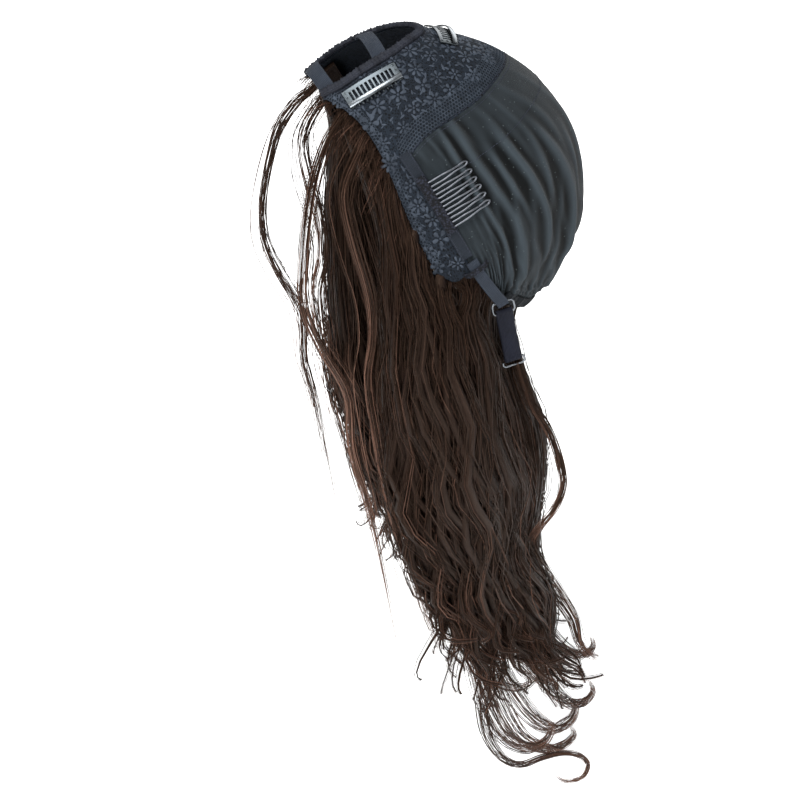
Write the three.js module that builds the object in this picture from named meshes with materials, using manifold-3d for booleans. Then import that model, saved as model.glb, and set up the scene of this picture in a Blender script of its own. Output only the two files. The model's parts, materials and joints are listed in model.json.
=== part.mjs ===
// U-part half wig, worn inside out: a stretch cap with its sewn side outwards and the hair hanging from under its edge
// Millimetres, +Z up, face towards -Y, the wearer's left at +X, origin at the inside of the crown behind the opening
import * as THREE from "three";
import Module from "manifold-3d";

const wasm = await Module();
wasm.setup();

// Head form under the cap: radius and half width by angle from the face over the crown to the nape
const HEAD_AXIS_Y = 2;
const HEAD_AXIS_Z = -52;
const EAR_HALF_WIDTH = 84;
const HEAD_FORM = [
  { angle: 35, radius: 138, halfWidth: 56 },
  { angle: 50, radius: 146, halfWidth: 60 },
  { angle: 65, radius: 151, halfWidth: 68 },
  { angle: 80, radius: 148, halfWidth: 74 },
  { angle: 95, radius: 139, halfWidth: 78 },
  { angle: 110, radius: 132, halfWidth: 80 },
  { angle: 125, radius: 125, halfWidth: 80 },
  { angle: 140, radius: 116, halfWidth: 79 },
  { angle: 155, radius: 106, halfWidth: 78 },
  { angle: 170, radius: 99, halfWidth: 76 },
  { angle: 185, radius: 89, halfWidth: 72 },
  { angle: 200, radius: 80, halfWidth: 69 },
  { angle: 225, radius: 71, halfWidth: 66 },
];

// Edges of the cap on the left half, from the front corner round to the middle of the back
const OPENING_EDGE = [
  { share: 0, angle: 54.5, side: 21 },
  { share: 0.14, angle: 60.5, side: 23.5 },
  { share: 0.29, angle: 66.5, side: 23 },
  { share: 0.43, angle: 72, side: 21.4 },
  { share: 0.57, angle: 77.2, side: 18.2 },
  { share: 0.71, angle: 81.8, side: 13 },
  { share: 0.86, angle: 85.4, side: 7 },
  { share: 1, angle: 86.6, side: 0 },
];
const LOWER_EDGE = [
  { share: 0, angle: 25.5, side: 79.8 },
  { share: 0.1, angle: 23, side: 85 },
  { share: 0.2, angle: 96, side: 86 },
  { share: 0.29, angle: 174, side: 82.5 },
  { share: 0.43, angle: 205, side: 73 },
  { share: 0.57, angle: 213, side: 58 },
  { share: 0.71, angle: 215, side: 40 },
  { share: 0.86, angle: 215, side: 20 },
  { share: 1, angle: 214, side: 0 },
];
const LACE_EDGE = [
  { side: 0, angle: 111 },
  { side: 18, angle: 107 },
  { side: 35, angle: 98 },
  { side: 45, angle: 86 },
  { side: 51, angle: 73 },
  { side: 60, angle: 54 },
];
const FRONT_EDGE_BOW = 8;
const SIDE_SEAM = 0.2;

// Cloth, tapes and gaps
const LACE_THICKNESS = 1.4;
const BACK_THICKNESS = 1.6;
const HAIR_LAYER_THICKNESS = 2.6;
const HAIR_LAYER_DROP = 6;
const GAP = 0.35;
const SEAM_GAP = 0.45;
const LAYER_GAP = 0.7;
const STRAP_WIDTH = 10;
const STRAP_THICKNESS = 1.2;
const BINDING_WIDTH = 4.2;
const BINDING_THICKNESS = 2.2;
const TAPE_WIDTH = 7.6;
const TAPE_THICKNESS = 0.9;
const SLEEVE_WIDTH = 6.4;
const SLEEVE_THICKNESS = 1.8;
const NAPE_STRAP_WIDTH = 8;

// Where the part is held: the inside of the crown on the middle line
const SEAT_ANGLE = 100;
const SEAT_DEPTH = LACE_THICKNESS;

const rad = THREE.MathUtils.degToRad;
const vec = (x, y, z) => new THREE.Vector3(x, y, z);

// Smooth value of one column of a table at a key
function tableValue(table, keyName, column, key) {
  const last = table.length - 1;
  const clamped = THREE.MathUtils.clamp(key, table[0][keyName], table[last][keyName]);
  let i = 0;
  while (i < last - 1 && clamped > table[i + 1][keyName]) i += 1;
  const slope = (k) => {
    const low = table[Math.max(k - 1, 0)];
    const high = table[Math.min(k + 1, last)];
    return (high[column] - low[column]) / (high[keyName] - low[keyName]);
  };
  const step = table[i + 1][keyName] - table[i][keyName];
  const t = (clamped - table[i][keyName]) / step;
  const a = 2 * t ** 3 - 3 * t ** 2 + 1;
  const b = t ** 3 - 2 * t ** 2 + t;
  const c = -2 * t ** 3 + 3 * t ** 2;
  const d = t ** 3 - t ** 2;
  return a * table[i][column] + b * step * slope(i) + c * table[i + 1][column] + d * step * slope(i + 1);
}

function bump(x, centre, width) {
  return Math.exp(-(((x - centre) / width) ** 2));
}

// A direction from the head axis: angle from the face over the crown, side towards the left ear
function direction(angle, side) {
  const a = rad(angle);
  const s = rad(side);
  return vec(Math.sin(s), -Math.cos(s) * Math.cos(a), Math.cos(s) * Math.sin(a));
}

function angleOf(dir) {
  const angle = THREE.MathUtils.radToDeg(Math.atan2(dir.z, -dir.y));
  return angle < -60 ? angle + 360 : angle;
}

function sideOf(dir) {
  return THREE.MathUtils.radToDeg(Math.asin(THREE.MathUtils.clamp(dir.x, -1, 1)));
}

// Point of the head form in a direction
function headPoint(dir) {
  const across = Math.hypot(dir.y, dir.z);
  const angle = angleOf(dir);
  const dent = 3.5 * bump(angle, 179, 7) * across;
  const radius = tableValue(HEAD_FORM, "angle", "radius", angle) - dent;
  const halfWidth = tableValue(HEAD_FORM, "angle", "halfWidth", angle);
  const width = EAR_HALF_WIDTH + (halfWidth - EAR_HALF_WIDTH) * across;
  return vec(width * dir.x, HEAD_AXIS_Y + radius * dir.y, HEAD_AXIS_Z + radius * dir.z);
}

function headNormal(dir) {
  const h = 0.02;
  const e1 = vec(-dir.y, dir.x, 0).lengthSq() > 0.01 ? vec(-dir.y, dir.x, 0) : vec(1, 0, 0);
  e1.addScaledVector(dir, -e1.dot(dir)).normalize();
  const e2 = dir.clone().cross(e1);
  const along = (e, k) => headPoint(dir.clone().addScaledVector(e, k).normalize());
  const d1 = along(e1, h).sub(along(e1, -h));
  const d2 = along(e2, h).sub(along(e2, -h));
  const normal = d1.cross(d2).normalize();
  return normal.dot(dir) < 0 ? normal.negate() : normal;
}

function lifted(dir, lift) {
  return headPoint(dir).addScaledVector(headNormal(dir), lift);
}

// Direction of the point of the head form nearest to a point in space
function directionTo(point) {
  const y = point.y - HEAD_AXIS_Y;
  const z = point.z - HEAD_AXIS_Z;
  const guess = vec(point.x / 80, y / 110, z / 110).normalize();
  for (let i = 0; i < 6; i += 1) {
    const at = headPoint(guess);
    const off = point.clone().sub(at);
    const normal = headNormal(guess);
    off.addScaledVector(normal, -off.dot(normal));
    guess.add(vec(off.x / 82, off.y / 115, off.z / 115)).normalize();
  }
  return guess;
}

// Edge tables read as a smooth curve, share running from 0 at the front to 1 at the middle of the back
function edgeDirection(edge, share) {
  const rows = edge.map((row) => {
    const dir = direction(row.angle, row.side);
    return { share: row.share, x: dir.x, y: dir.y, z: dir.z };
  });
  const read = (column) => tableValue(rows, "share", column, share);
  return vec(read("x"), read("y"), read("z")).normalize();
}

// The cap as spokes from the opening edge to the lower edge; half is +1 for the left and -1 for the right
function spoke(half, share, t) {
  const from = edgeDirection(OPENING_EDGE, share);
  const to = edgeDirection(LOWER_EDGE, share);
  const arc = from.angleTo(to);
  const dir = from.multiplyScalar(Math.sin((1 - t) * arc)).addScaledVector(to, Math.sin(t * arc));
  dir.divideScalar(Math.sin(arc)).normalize();
  const bow = FRONT_EDGE_BOW * Math.sin(Math.PI * THREE.MathUtils.clamp(t, 0, 1));
  dir.applyAxisAngle(vec(1, 0, 0), -rad(bow * bump(share, 0, 0.12)));
  dir.x *= half;
  return dir;
}

// Direction of a place inside the opening, square off the opening edge by a distance
function inOpening(half, share, distance) {
  const edge = (at) => headPoint(edgeDirection(OPENING_EDGE, THREE.MathUtils.clamp(at, 0, 1)));
  const along = edge(share + 0.02).sub(edge(share - 0.02)).normalize();
  const dir = edgeDirection(OPENING_EDGE, share);
  const inwards = headNormal(dir).cross(along).normalize();
  const place = directionTo(headPoint(dir).addScaledVector(inwards, distance));
  place.x *= share === 1 ? 0 : half;
  return place.normalize();
}

function spokeLength(share) {
  const steps = 12;
  let length = 0;
  for (let i = 0; i < steps; i += 1) {
    length += headPoint(spoke(1, share, i / steps)).distanceTo(headPoint(spoke(1, share, (i + 1) / steps)));
  }
  return length;
}

// Where the lace ends on a spoke
function laceEnd(share) {
  const at = Math.max(share, SIDE_SEAM);
  let low = 0;
  let high = 1;
  for (let i = 0; i < 24; i += 1) {
    const t = (low + high) / 2;
    const dir = spoke(1, at, t);
    const beyond = angleOf(dir) > tableValue(LACE_EDGE, "side", "angle", sideOf(dir));
    if (beyond) high = t;
    else low = t;
  }
  return low;
}

// Direction of a place set off sideways from a spoke, backwards along the surface by a distance
function besideSpoke(half, share, t, distance) {
  const at = spoke(1, share, t);
  const along = headPoint(spoke(1, share, t + 0.01)).sub(headPoint(spoke(1, share, t - 0.01))).normalize();
  const backwards = headNormal(at).cross(along).normalize();
  const dir = directionTo(headPoint(at).addScaledVector(backwards, distance));
  dir.x *= half;
  return dir;
}

// Soft folds of the stretch cloth, only outwards
function foldLift(share, t) {
  const quiet = THREE.MathUtils.smoothstep(share, 0.3, 0.6);
  const rise = THREE.MathUtils.smoothstep(t, 0.2, 0.75) * (1 - 0.75 * THREE.MathUtils.smoothstep(t, 0.8, 0.95));
  const wave = 0.5 + 0.5 * Math.sin(2 * Math.PI * (4.2 * share + 1.1 * t));
  return 2.6 * wave * rise * (0.2 + 0.8 * quiet);
}

// A closed body from shared corners
function body(positions, indices) {
  let volume = 0;
  for (let i = 0; i < indices.length; i += 3) {
    const [a, b, c] = [0, 1, 2].map((k) => positions[indices[i + k]]);
    volume += a.dot(b.clone().cross(c));
  }
  const faces = volume < 0 ? indices.slice().reverse() : indices;
  const geometry = new THREE.BufferGeometry();
  geometry.setAttribute("position", new THREE.Float32BufferAttribute(positions.flatMap((p) => [p.x, p.y, p.z]), 3));
  geometry.setIndex(faces);
  return geometry;
}

// Cloth shell over a grid of places: corners gives outside and inside points, has says which cells are cloth
function clothShell(columns, rows, corners, has) {
  const index = new Map();
  const positions = [];
  const indices = [];
  const corner = (i, j) => {
    const key = i * 1000 + j;
    if (!index.has(key)) {
      index.set(key, positions.length);
      positions.push(...corners(i, j));
    }
    return index.get(key);
  };
  const present = (i, j) => i >= 0 && j >= 0 && i < columns && j < rows && has(i, j);
  const wall = (p, q) => indices.push(p, q, q + 1, p, q + 1, p + 1);
  for (let i = 0; i < columns; i += 1) {
    for (let j = 0; j < rows; j += 1) {
      if (!present(i, j)) continue;
      const [a, b, c, d] = [corner(i, j), corner(i + 1, j), corner(i + 1, j + 1), corner(i, j + 1)];
      indices.push(a, c, b, a, d, c, a + 1, b + 1, c + 1, a + 1, c + 1, d + 1);
      if (!present(i, j - 1)) wall(a, b);
      if (!present(i + 1, j)) wall(b, c);
      if (!present(i, j + 1)) wall(c, d);
      if (!present(i - 1, j)) wall(d, a);
    }
  }
  return body(positions, indices);
}

// Shares across the whole cap from the left front edge round the back to the right front edge
function wholeCap(shares) {
  const left = shares.map((share) => ({ half: 1, share }));
  const right = shares.slice(0, -1).reverse().map((share) => ({ half: -1, share }));
  return [...left, ...right];
}

function steps(from, to, count) {
  return Array.from({ length: count + 1 }, (_, i) => from + ((to - from) * i) / count);
}

const STRIP_SHARES = steps(0, SIDE_SEAM, 3);
const BACK_SHARES = steps(SIDE_SEAM, 1, 12);
const LACE_ROWS = 5;
const BACK_ROWS = 8;

// Rows of a spoke: the lace part, then the rest
function rowPlace(share, row) {
  const split = laceEnd(share);
  if (row <= LACE_ROWS) return (split * row) / LACE_ROWS;
  return split + ((1 - split) * (row - LACE_ROWS)) / BACK_ROWS;
}

function lacePanel() {
  const places = wholeCap([...STRIP_SHARES, ...BACK_SHARES.slice(1)]);
  const rows = LACE_ROWS + BACK_ROWS;
  const strip = (i) => Math.min(i, places.length - 2 - i) < STRIP_SHARES.length - 1;
  const corners = (i, j) => {
    const { half, share } = places[i];
    const dir = spoke(half, share, rowPlace(share, j));
    return [lifted(dir, 0), lifted(dir, -LACE_THICKNESS)];
  };
  return clothShell(places.length - 1, rows, corners, (i, j) => strip(i) || j < LACE_ROWS);
}

function backPanel() {
  const places = wholeCap(BACK_SHARES);
  const last = places.length - 1;
  const corners = (i, j) => {
    const { half, share } = places[i];
    const row = LACE_ROWS + j;
    const start = laceEnd(share) + SEAM_GAP / spokeLength(share);
    const t = j === 0 ? start : rowPlace(share, row);
    const atSeam = i === 0 || i === last;
    const dir = atSeam ? besideSpoke(half, share, t, SEAM_GAP) : spoke(half, share, t);
    const fold = foldLift(share, t);
    return [lifted(dir, fold), lifted(dir, fold - BACK_THICKNESS)];
  };
  return clothShell(last, BACK_ROWS, corners, () => true);
}

// Layer of sewn-down hair under the front edge and the lower part of the cap, a little longer than the cap
const LAYER_TOP_ROW = 10;

function hairLayer() {
  const places = wholeCap([...STRIP_SHARES, ...BACK_SHARES.slice(1)]);
  const last = places.length - 1;
  const rows = LACE_ROWS + BACK_ROWS;
  const top = -Math.max(LACE_THICKNESS, BACK_THICKNESS) - LAYER_GAP;
  const strip = (i) => Math.min(i, last - 1 - i) < STRIP_SHARES.length - 1;
  const corners = (i, j) => {
    const { half, share } = places[i];
    const row = j + 1;
    const t = row > rows ? 1 + HAIR_LAYER_DROP / spokeLength(share) : rowPlace(share, row);
    const atFront = i === 0 || i === last;
    const dir = atFront ? besideSpoke(half, share, t, 1.2) : spoke(half, share, t);
    return [lifted(dir, top), lifted(dir, top - HAIR_LAYER_THICKNESS)];
  };
  return clothShell(last, rows, corners, (i, j) => strip(i) || j + 1 >= LAYER_TOP_ROW);
}

// Room the cap takes up, a gap larger all round, that the hair stays out of
function capRoom() {
  const places = wholeCap([...STRIP_SHARES, ...BACK_SHARES.slice(1)]);
  const last = places.length - 1;
  const rows = LACE_ROWS + BACK_ROWS;
  const low = -Math.max(LACE_THICKNESS, BACK_THICKNESS) - LAYER_GAP + 0.15;
  const corners = (i, j) => {
    const { half, share } = places[i];
    const t = j === rows ? 1 + 1.1 / spokeLength(share) : rowPlace(share, j);
    const atFront = i === 0 || i === last;
    const dir = atFront ? besideSpoke(half, share, t, -0.5) : spoke(half, share, t);
    return [lifted(dir, 9), lifted(dir, low)];
  };
  return clothShell(last, rows, corners, () => true);
}

// Rings of corners joined into a closed body; a closed loop has no end faces
function loft(rings, loop = false) {
  const size = rings[0].length;
  const positions = rings.flat();
  const indices = [];
  const joins = loop ? rings.length : rings.length - 1;
  for (let i = 0; i < joins; i += 1) {
    const a = i * size;
    const b = ((i + 1) % rings.length) * size;
    for (let k = 0; k < size; k += 1) {
      const n = (k + 1) % size;
      indices.push(a + k, a + n, b + n, a + k, b + n, b + k);
    }
  }
  if (!loop) {
    const end = (rings.length - 1) * size;
    for (let k = 1; k < size - 1; k += 1) {
      indices.push(0, k + 1, k, end, end + k, end + k + 1);
    }
  }
  return body(positions, indices);
}

function ring(centre, across, up, profile) {
  return profile.map(([x, y]) => centre.clone().addScaledVector(across, x).addScaledVector(up, y));
}

// Frames along a path of points with a given up direction at each
function bandRings(points, ups, profile, loop = false) {
  const count = points.length;
  return points.map((point, i) => {
    const before = points[loop ? (i + count - 1) % count : Math.max(i - 1, 0)];
    const after = points[loop ? (i + 1) % count : Math.min(i + 1, count - 1)];
    const along = after.clone().sub(before).normalize();
    const across = ups[i].clone().cross(along).normalize();
    const up = along.clone().cross(across).normalize();
    return ring(point, across, up, typeof profile === "function" ? profile(i) : profile);
  });
}

function rectangle(width, low, high) {
  const half = width / 2;
  return [[-half, low], [half, low], [half, high], [-half, high]];
}

function polygon(sides, width, height) {
  return Array.from({ length: sides }, (_, k) => {
    const a = (2 * Math.PI * k) / sides;
    return [width * Math.cos(a), height * Math.sin(a)];
  });
}

// Flat band lying on the head form along a list of directions
function surfaceBand(dirs, profile) {
  return loft(bandRings(dirs.map(headPoint), dirs.map(headNormal), profile));
}

// Wire along a smooth path
function wire(points, radius, sides = 5) {
  const curve = points.map((p) => p.clone());
  const turn = vec(0.31, 0.27, 0.91);
  const ups = curve.map((p, i) => {
    const along = curve[Math.min(i + 1, curve.length - 1)].clone().sub(curve[Math.max(i - 1, 0)]).normalize();
    return turn.addScaledVector(along, -turn.dot(along)).normalize().clone();
  });
  return loft(bandRings(curve, ups, polygon(sides, radius, radius)));
}

function mirrored(geometry) {
  const copy = geometry.clone();
  copy.scale(-1, 1, 1);
  copy.setIndex(Array.from(copy.index.array).reverse());
  return copy;
}

// Solid joining of bodies
function toSolid(geometry) {
  const mesh = new wasm.Mesh({
    numProp: 3,
    vertProperties: new Float32Array(geometry.attributes.position.array),
    triVerts: new Uint32Array(geometry.index.array),
  });
  return new wasm.Manifold(mesh);
}

function fromSolid(solid) {
  const mesh = solid.getMesh();
  const geometry = new THREE.BufferGeometry();
  geometry.setAttribute("position", new THREE.BufferAttribute(new Float32Array(mesh.vertProperties), 3));
  geometry.setIndex(Array.from(mesh.triVerts));
  return geometry;
}

function joined(geometries) {
  return fromSolid(geometries.map(toSolid).reduce((whole, part) => whole.add(part)));
}

// Ruffled binding round the opening
function openingBinding() {
  const shares = steps(0.005, 1, 22);
  const places = wholeCap(shares);
  const dirs = places.map(({ half, share }) => inOpening(half, share, GAP + BINDING_WIDTH / 2));
  const profile = (i) => {
    const ruffle = i % 2 ? 0.35 : -0.25;
    const half = BINDING_WIDTH / 2 - 0.1;
    const high = BINDING_THICKNESS + ruffle;
    return [[-half, 0.1], [half, 0.1], [half, 0.7 * high], [0.2 * half, high], [-half, 0.75 * high]];
  };
  return surfaceBand(dirs, profile);
}

// Elastic strap across the opening at an angle, from under one binding to the other
function openingStrap(angle, endSide) {
  const dirs = steps(-endSide, endSide, 10).map((side) => direction(angle, side));
  return surfaceBand(dirs, rectangle(STRAP_WIDTH, -0.5 - STRAP_THICKNESS, -0.5));
}

// Tape over the side seam, from the lace edge down to the ear tab
function seamPlaces(from, to, count, behind) {
  return steps(from, to, count).map((t) => besideSpoke(1, SIDE_SEAM, t, behind));
}

function sideTape() {
  const dirs = seamPlaces(0.45, 0.93, 8, 1);
  return surfaceBand(dirs, rectangle(TAPE_WIDTH, GAP + 0.35, GAP + 0.35 + TAPE_THICKNESS));
}

const SLEEVE_BEHIND = 1.2;
const SLEEVE_FROM = 0.565;
const SLEEVE_TO = 0.815;

function combSleeve() {
  const dirs = seamPlaces(SLEEVE_FROM, SLEEVE_TO, 6, SLEEVE_BEHIND);
  const low = 2 * GAP + TAPE_THICKNESS + 0.5;
  const half = SLEEVE_WIDTH / 2;
  const high = low + SLEEVE_THICKNESS;
  const profile = [[-half, low], [half, low], [half, high - 0.6], [half - 1, high], [1 - half, high], [-half, high - 0.6]];
  return surfaceBand(dirs, profile);
}

// Local sheet laid on the head form midway between two places: x runs between them, y square to it, z off the surface
function sheetFrame(from, to, width) {
  const middle = directionTo(headPoint(from).add(headPoint(to)).multiplyScalar(0.5));
  const origin = headPoint(middle);
  const z = headNormal(middle);
  const x = headPoint(to).sub(headPoint(from));
  x.addScaledVector(z, -x.dot(z)).normalize();
  const y = z.clone().cross(x);
  const place = (u, v, lift) => {
    const flat = origin.clone().addScaledVector(x, u - width / 2).addScaledVector(y, v);
    return lifted(directionTo(flat), lift);
  };
  return { place };
}

// Wire comb: one wire bent into hairpin teeth that start under the sleeve and lie back over the stretch panel
const COMB_WIDTH = 34;
const COMB_TEETH = 6;
const COMB_WIRE = 0.6;
const COMB_LIFT = 3.6;
const TOOTH_OUTLINE = [
  { across: 0.32, up: 0, lift: COMB_LIFT - 0.6 },
  { across: 0.27, up: 8, lift: COMB_LIFT + 0.2 },
  { across: 0.16, up: 18, lift: COMB_LIFT },
  { across: 0.22, up: 24, lift: COMB_LIFT - 0.4 },
  { across: 0, up: 26, lift: COMB_LIFT - 0.4 },
];

function sideComb() {
  const from = seamPlaces(SLEEVE_FROM + 0.02, SLEEVE_TO, 1, SLEEVE_BEHIND + SLEEVE_WIDTH / 2 + 0.9);
  const sheet = sheetFrame(from[0], from[1], COMB_WIDTH);
  const pitch = COMB_WIDTH / COMB_TEETH;
  const points = [];
  for (let k = 0; k < COMB_TEETH; k += 1) {
    const middle = (k + 0.5) * pitch;
    TOOTH_OUTLINE.forEach((row) => points.push(sheet.place(middle - row.across * pitch, row.up, row.lift)));
    const back = TOOTH_OUTLINE.slice(0, -1).reverse();
    back.forEach((row) => points.push(sheet.place(middle + row.across * pitch, row.up, row.lift)));
  }
  return wire(points, COMB_WIRE, 4);
}

// Places in space, with the surface facing straight out to the side
function sideBand(path, profile) {
  const points = path.map((place) => vec(...place));
  return loft(bandRings(points, points.map(() => vec(1, 0, 0)), profile));
}

// Lace loop that keeps the nape strap against the ear tab
function strapKeeper() {
  const path = [[83.5, -3.2, -43.3], [86.6, -0.6, -41.7], [86.8, 4, -38.8], [86.6, 8.6, -35.9], [83.7, 11.2, -34.3]];
  return sideBand(path, rectangle(4, -0.45, 0.45));
}

// Nape strap: grey elastic from the ear tab to the slider
function napeStrap() {
  const path = [[85, 0.5, -33], [85.3, 6.1, -42.5], [85.2, 12.1, -51.5], [84.1, 17.9, -59.5], [82.6, 21.9, -64.5], [82.4, 23.3, -67.1]];
  return sideBand(path, rectangle(NAPE_STRAP_WIDTH, -0.6, 0.6));
}

// Hanging end: slider, doubled strap and open hook, in a frame that hangs from the slider
const HANG_TOP = vec(80.5, 23, -65.5);
const HANG_DOWN = vec(0.01, 0.2, -0.98).normalize();
const HANG_OUT = vec(1, 0, 0.01);
const TAIL_LENGTH = 35;
const TAIL_WIDTH = 11;
const SLIDER_HEIGHT = 8;

function hangPoint(across, down, out) {
  const side = HANG_DOWN.clone().cross(HANG_OUT).normalize();
  const point = HANG_TOP.clone().addScaledVector(side, across).addScaledVector(HANG_DOWN, down);
  return point.addScaledVector(HANG_OUT, out);
}

function slider() {
  const half = TAIL_WIDTH / 2 + 1.6;
  const low = SLIDER_HEIGHT;
  const corners = [[-half, 1], [-half + 1, 0], [half - 1, 0], [half, 1], [half, low - 1], [half - 1, low], [1 - half, low], [-half, low - 1]];
  const points = corners.map(([across, down]) => hangPoint(across, down, 0));
  const ups = corners.map(() => HANG_OUT);
  return loft(bandRings(points, ups, polygon(6, 0.75, 0.75), true), true);
}

// Doubled strap: a flat loop from the slider's lower bar to the hook
function strapTail() {
  const top = SLIDER_HEIGHT - 1.9;
  const bottom = SLIDER_HEIGHT + TAIL_LENGTH;
  const reach = 1.75;
  const loopPath = [
    [top + 0.6, 0.9 * reach], [top + 4, 0.75 * reach], [(top + bottom) / 2, 0.75 * reach], [bottom - 3, 0.75 * reach], [bottom - 0.6, 0.9 * reach],
    [bottom + 0.6, 0], [bottom - 0.6, -0.9 * reach], [bottom - 3, -0.75 * reach], [(top + bottom) / 2, -0.75 * reach], [top + 4, -0.75 * reach],
    [top + 0.6, -0.9 * reach], [top - 0.6, 0],
  ];
  const side = HANG_DOWN.clone().cross(HANG_OUT).normalize();
  const points = loopPath.map(([down, out]) => hangPoint(0, down, out));
  const count = points.length;
  const rings = points.map((point, i) => {
    const along = points[(i + 1) % count].clone().sub(points[(i + count - 1) % count]).normalize();
    const up = along.clone().cross(side).normalize();
    return ring(point, side, up, rectangle(TAIL_WIDTH, -0.35, 0.35));
  });
  return loft(rings, true);
}

function endHook() {
  const y = SLIDER_HEIGHT + TAIL_LENGTH - 1.1;
  const half = TAIL_WIDTH / 2 + 1.8;
  const path = [
    [half - 2.4, y], [-half + 0.8, y], [-half, y + 0.9], [-half, y + 3.6], [-half + 1.2, y + 4.8], [half - 1.2, y + 4.8], [half, y + 3.6], [half, y + 1.6],
  ];
  return wire(path.map(([across, down]) => hangPoint(across, down, 0)), 0.7, 6);
}

// Gathered band along the nape between the sliders
function napeBand() {
  const places = wholeCap(steps(0.47, 1, 9));
  const dirs = places.map(({ half, share }) => spoke(half, share, 1 - 4.5 / spokeLength(share)));
  const profile = (i) => rectangle(8, 1.5 + (i % 2) * 0.3, 2.7 + (i % 2) * 0.4);
  return surfaceBand(dirs, profile);
}

// Snap clip: a slotted plate with teeth, and a bowed bar that swings off it
const CLIP_LENGTH = 38;
const CLIP_TEETH = 10;
const CLIP_PITCH = 2.9;
const CLIP_LIFT = 1;
const CLIP_PLATE = 0.8;
const BAR_GAP = 0.4;
const BAR_THICKNESS = 0.9;

const CLIP_END_WIDTH = 4.2;
const CLIP_BAND = 2.6;
const CLIP_END_DEPTH = 12.4;
const TOOTH_DEPTH = 13.8;
const TOOTH_HALF = 0.75;

function clipPlate(sheet) {
  const first = (CLIP_LENGTH - (CLIP_TEETH - 1) * CLIP_PITCH) / 2;
  const edges = [0, CLIP_END_WIDTH];
  for (let k = 0; k < CLIP_TEETH; k += 1) {
    edges.push(first + k * CLIP_PITCH - TOOTH_HALF, first + k * CLIP_PITCH + TOOTH_HALF);
  }
  edges.push(CLIP_LENGTH - CLIP_END_WIDTH, CLIP_LENGTH);
  const lastCell = edges.length - 2;
  const endCell = (i) => i === 0 || i === lastCell;
  const corners = (i, j) => {
    const nearEnd = i <= 1 || i >= edges.length - 2;
    const tooth = (edges[i - 1] ?? 0) / 2 + (edges[i + 1] ?? CLIP_LENGTH) / 2;
    const taper = nearEnd || j < 2 ? 0 : 0.2 * Math.sign(tooth - edges[i]);
    const y = [0, CLIP_BAND, nearEnd ? CLIP_END_DEPTH : TOOTH_DEPTH][j];
    const x = edges[i] - taper;
    return [sheet.place(x, y, CLIP_LIFT + CLIP_PLATE), sheet.place(x, y, CLIP_LIFT)];
  };
  return clothShell(edges.length - 1, 2, corners, (i, j) => j === 0 || endCell(i) || i % 2 === 0);
}

// Places along the bowed bar: distance along, inner edge and outer edge across
const BAR_HINGE_ACROSS = 8.2;

function clipBar(sheet) {
  const bottom = CLIP_LIFT + CLIP_PLATE + BAR_GAP;
  const rings = steps(0.4, CLIP_LENGTH - 0.4, 8).map((x) => {
    const bow = Math.sin((Math.PI * x) / CLIP_LENGTH);
    const inner = BAR_HINGE_ACROSS + 0.9 * bow;
    const outer = BAR_HINGE_ACROSS + 3.4 + 0.6 * bow;
    const low = bottom + 0.9 * bow;
    const corners = [[inner, low], [outer, low], [outer, low + BAR_THICKNESS], [inner, low + BAR_THICKNESS]];
    return corners.map(([y, z]) => sheet.place(x, y, z));
  });
  return loft(rings);
}

const SIDE_CLIP = sheetFrame(direction(74.6, 23.2), direction(59.4, 25.4), CLIP_LENGTH);
const BACK_CLIP = sheetFrame(direction(88.7, -13.4), direction(88.7, 13.4), CLIP_LENGTH);

// Hair: locks that hang from the layer, each a table of places and radii from root to tip
const LOCK_SIDES = 6;
const LOCK_STEPS = 8;

const LEFT_LOCKS = [
  {
    path: [[49, -42, 32], [60, -46, 2], [73, -44, -50], [80, -41, -150], [82, -34, -215], [82, -20, -270], [77, -6, -325], [73, -2, -388]],
    radii: [4, 8, 10, 12, 13, 12, 8, 2],
    phase: 0.2,
  },
  {
    path: [[64.7, -28, 2], [73, -35, -26], [83, -32, -70], [88, -24, -150], [88, -12, -230], [85, 6, -310], [80, 12, -402]],
    radii: [4.5, 8, 12, 15, 16, 14, 2],
    phase: 1.7,
  },
  {
    path: [[72.5, -14, -22], [81, -19, -56], [88, -14, -95], [92, -6, -170], [92, 6, -250], [88, 20, -330], [80, 32, -416]],
    radii: [4.5, 8, 13, 17, 17, 15, 2],
    phase: 3.1,
  },
  {
    path: [[76.8, 5, -35], [79, 2, -57], [84, 0, -85], [86, 12, -170], [82, 24, -255], [84, 36, -330], [82, 46, -412]],
    radii: [4, 5.5, 10, 17, 18, 16, 2],
    phase: 4.4,
  },
  {
    path: [[75, 17, -53], [73, 11, -76], [74, 12, -115], [74, 30, -190], [74, 34, -245], [78, 48, -300], [82, 60, -355], [82, 58, -402]],
    radii: [4, 6, 12, 18, 16, 17, 13, 2],
    phase: 5.2,
  },
  {
    path: [[68, 26, -63], [60, 30, -92], [57, 38, -135], [60, 52, -195], [58, 46, -250], [64, 56, -310], [68, 62, -370], [68, 56, -418]],
    radii: [4, 8, 14, 17, 15, 16, 12, 2],
    phase: 0.9,
  },
];

const BACK_LOCKS = [
  {
    path: [[37.5, 52, -79], [35, 43, -95], [34, 40, -124], [35, 42, -165], [37, 54, -220], [35, 52, -285], [39, 60, -345], [37, 56, -404]],
    radii: [4, 5, 9, 14, 16, 15, 13, 2],
    phase: 1.1,
  },
  {
    path: [[11.2, 62, -83], [11.5, 50, -100], [12, 44, -130], [12, 46, -172], [13, 58, -230], [12, 56, -290], [14, 64, -350], [12, 60, -412]],
    radii: [4, 5, 9, 14, 16, 15, 13, 2],
    phase: 3.6,
  },
];

// One thin curl under the left side
const TAIL_CURL = {
  path: [[84, 14, -372], [86, 18, -404], [88, 30, -428], [88, 45, -438], [88, 60, -435], [88, 76, -434], [88, 90, -439], [88, 98, -449], [88, 94, -460], [88, 81, -461], [88, 71, -453]],
  radii: [5, 4.5, 3.4, 2.8, 2.4, 2, 1.8, 1.6, 1.4, 1.2, 1],
  phase: 0,
};

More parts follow.
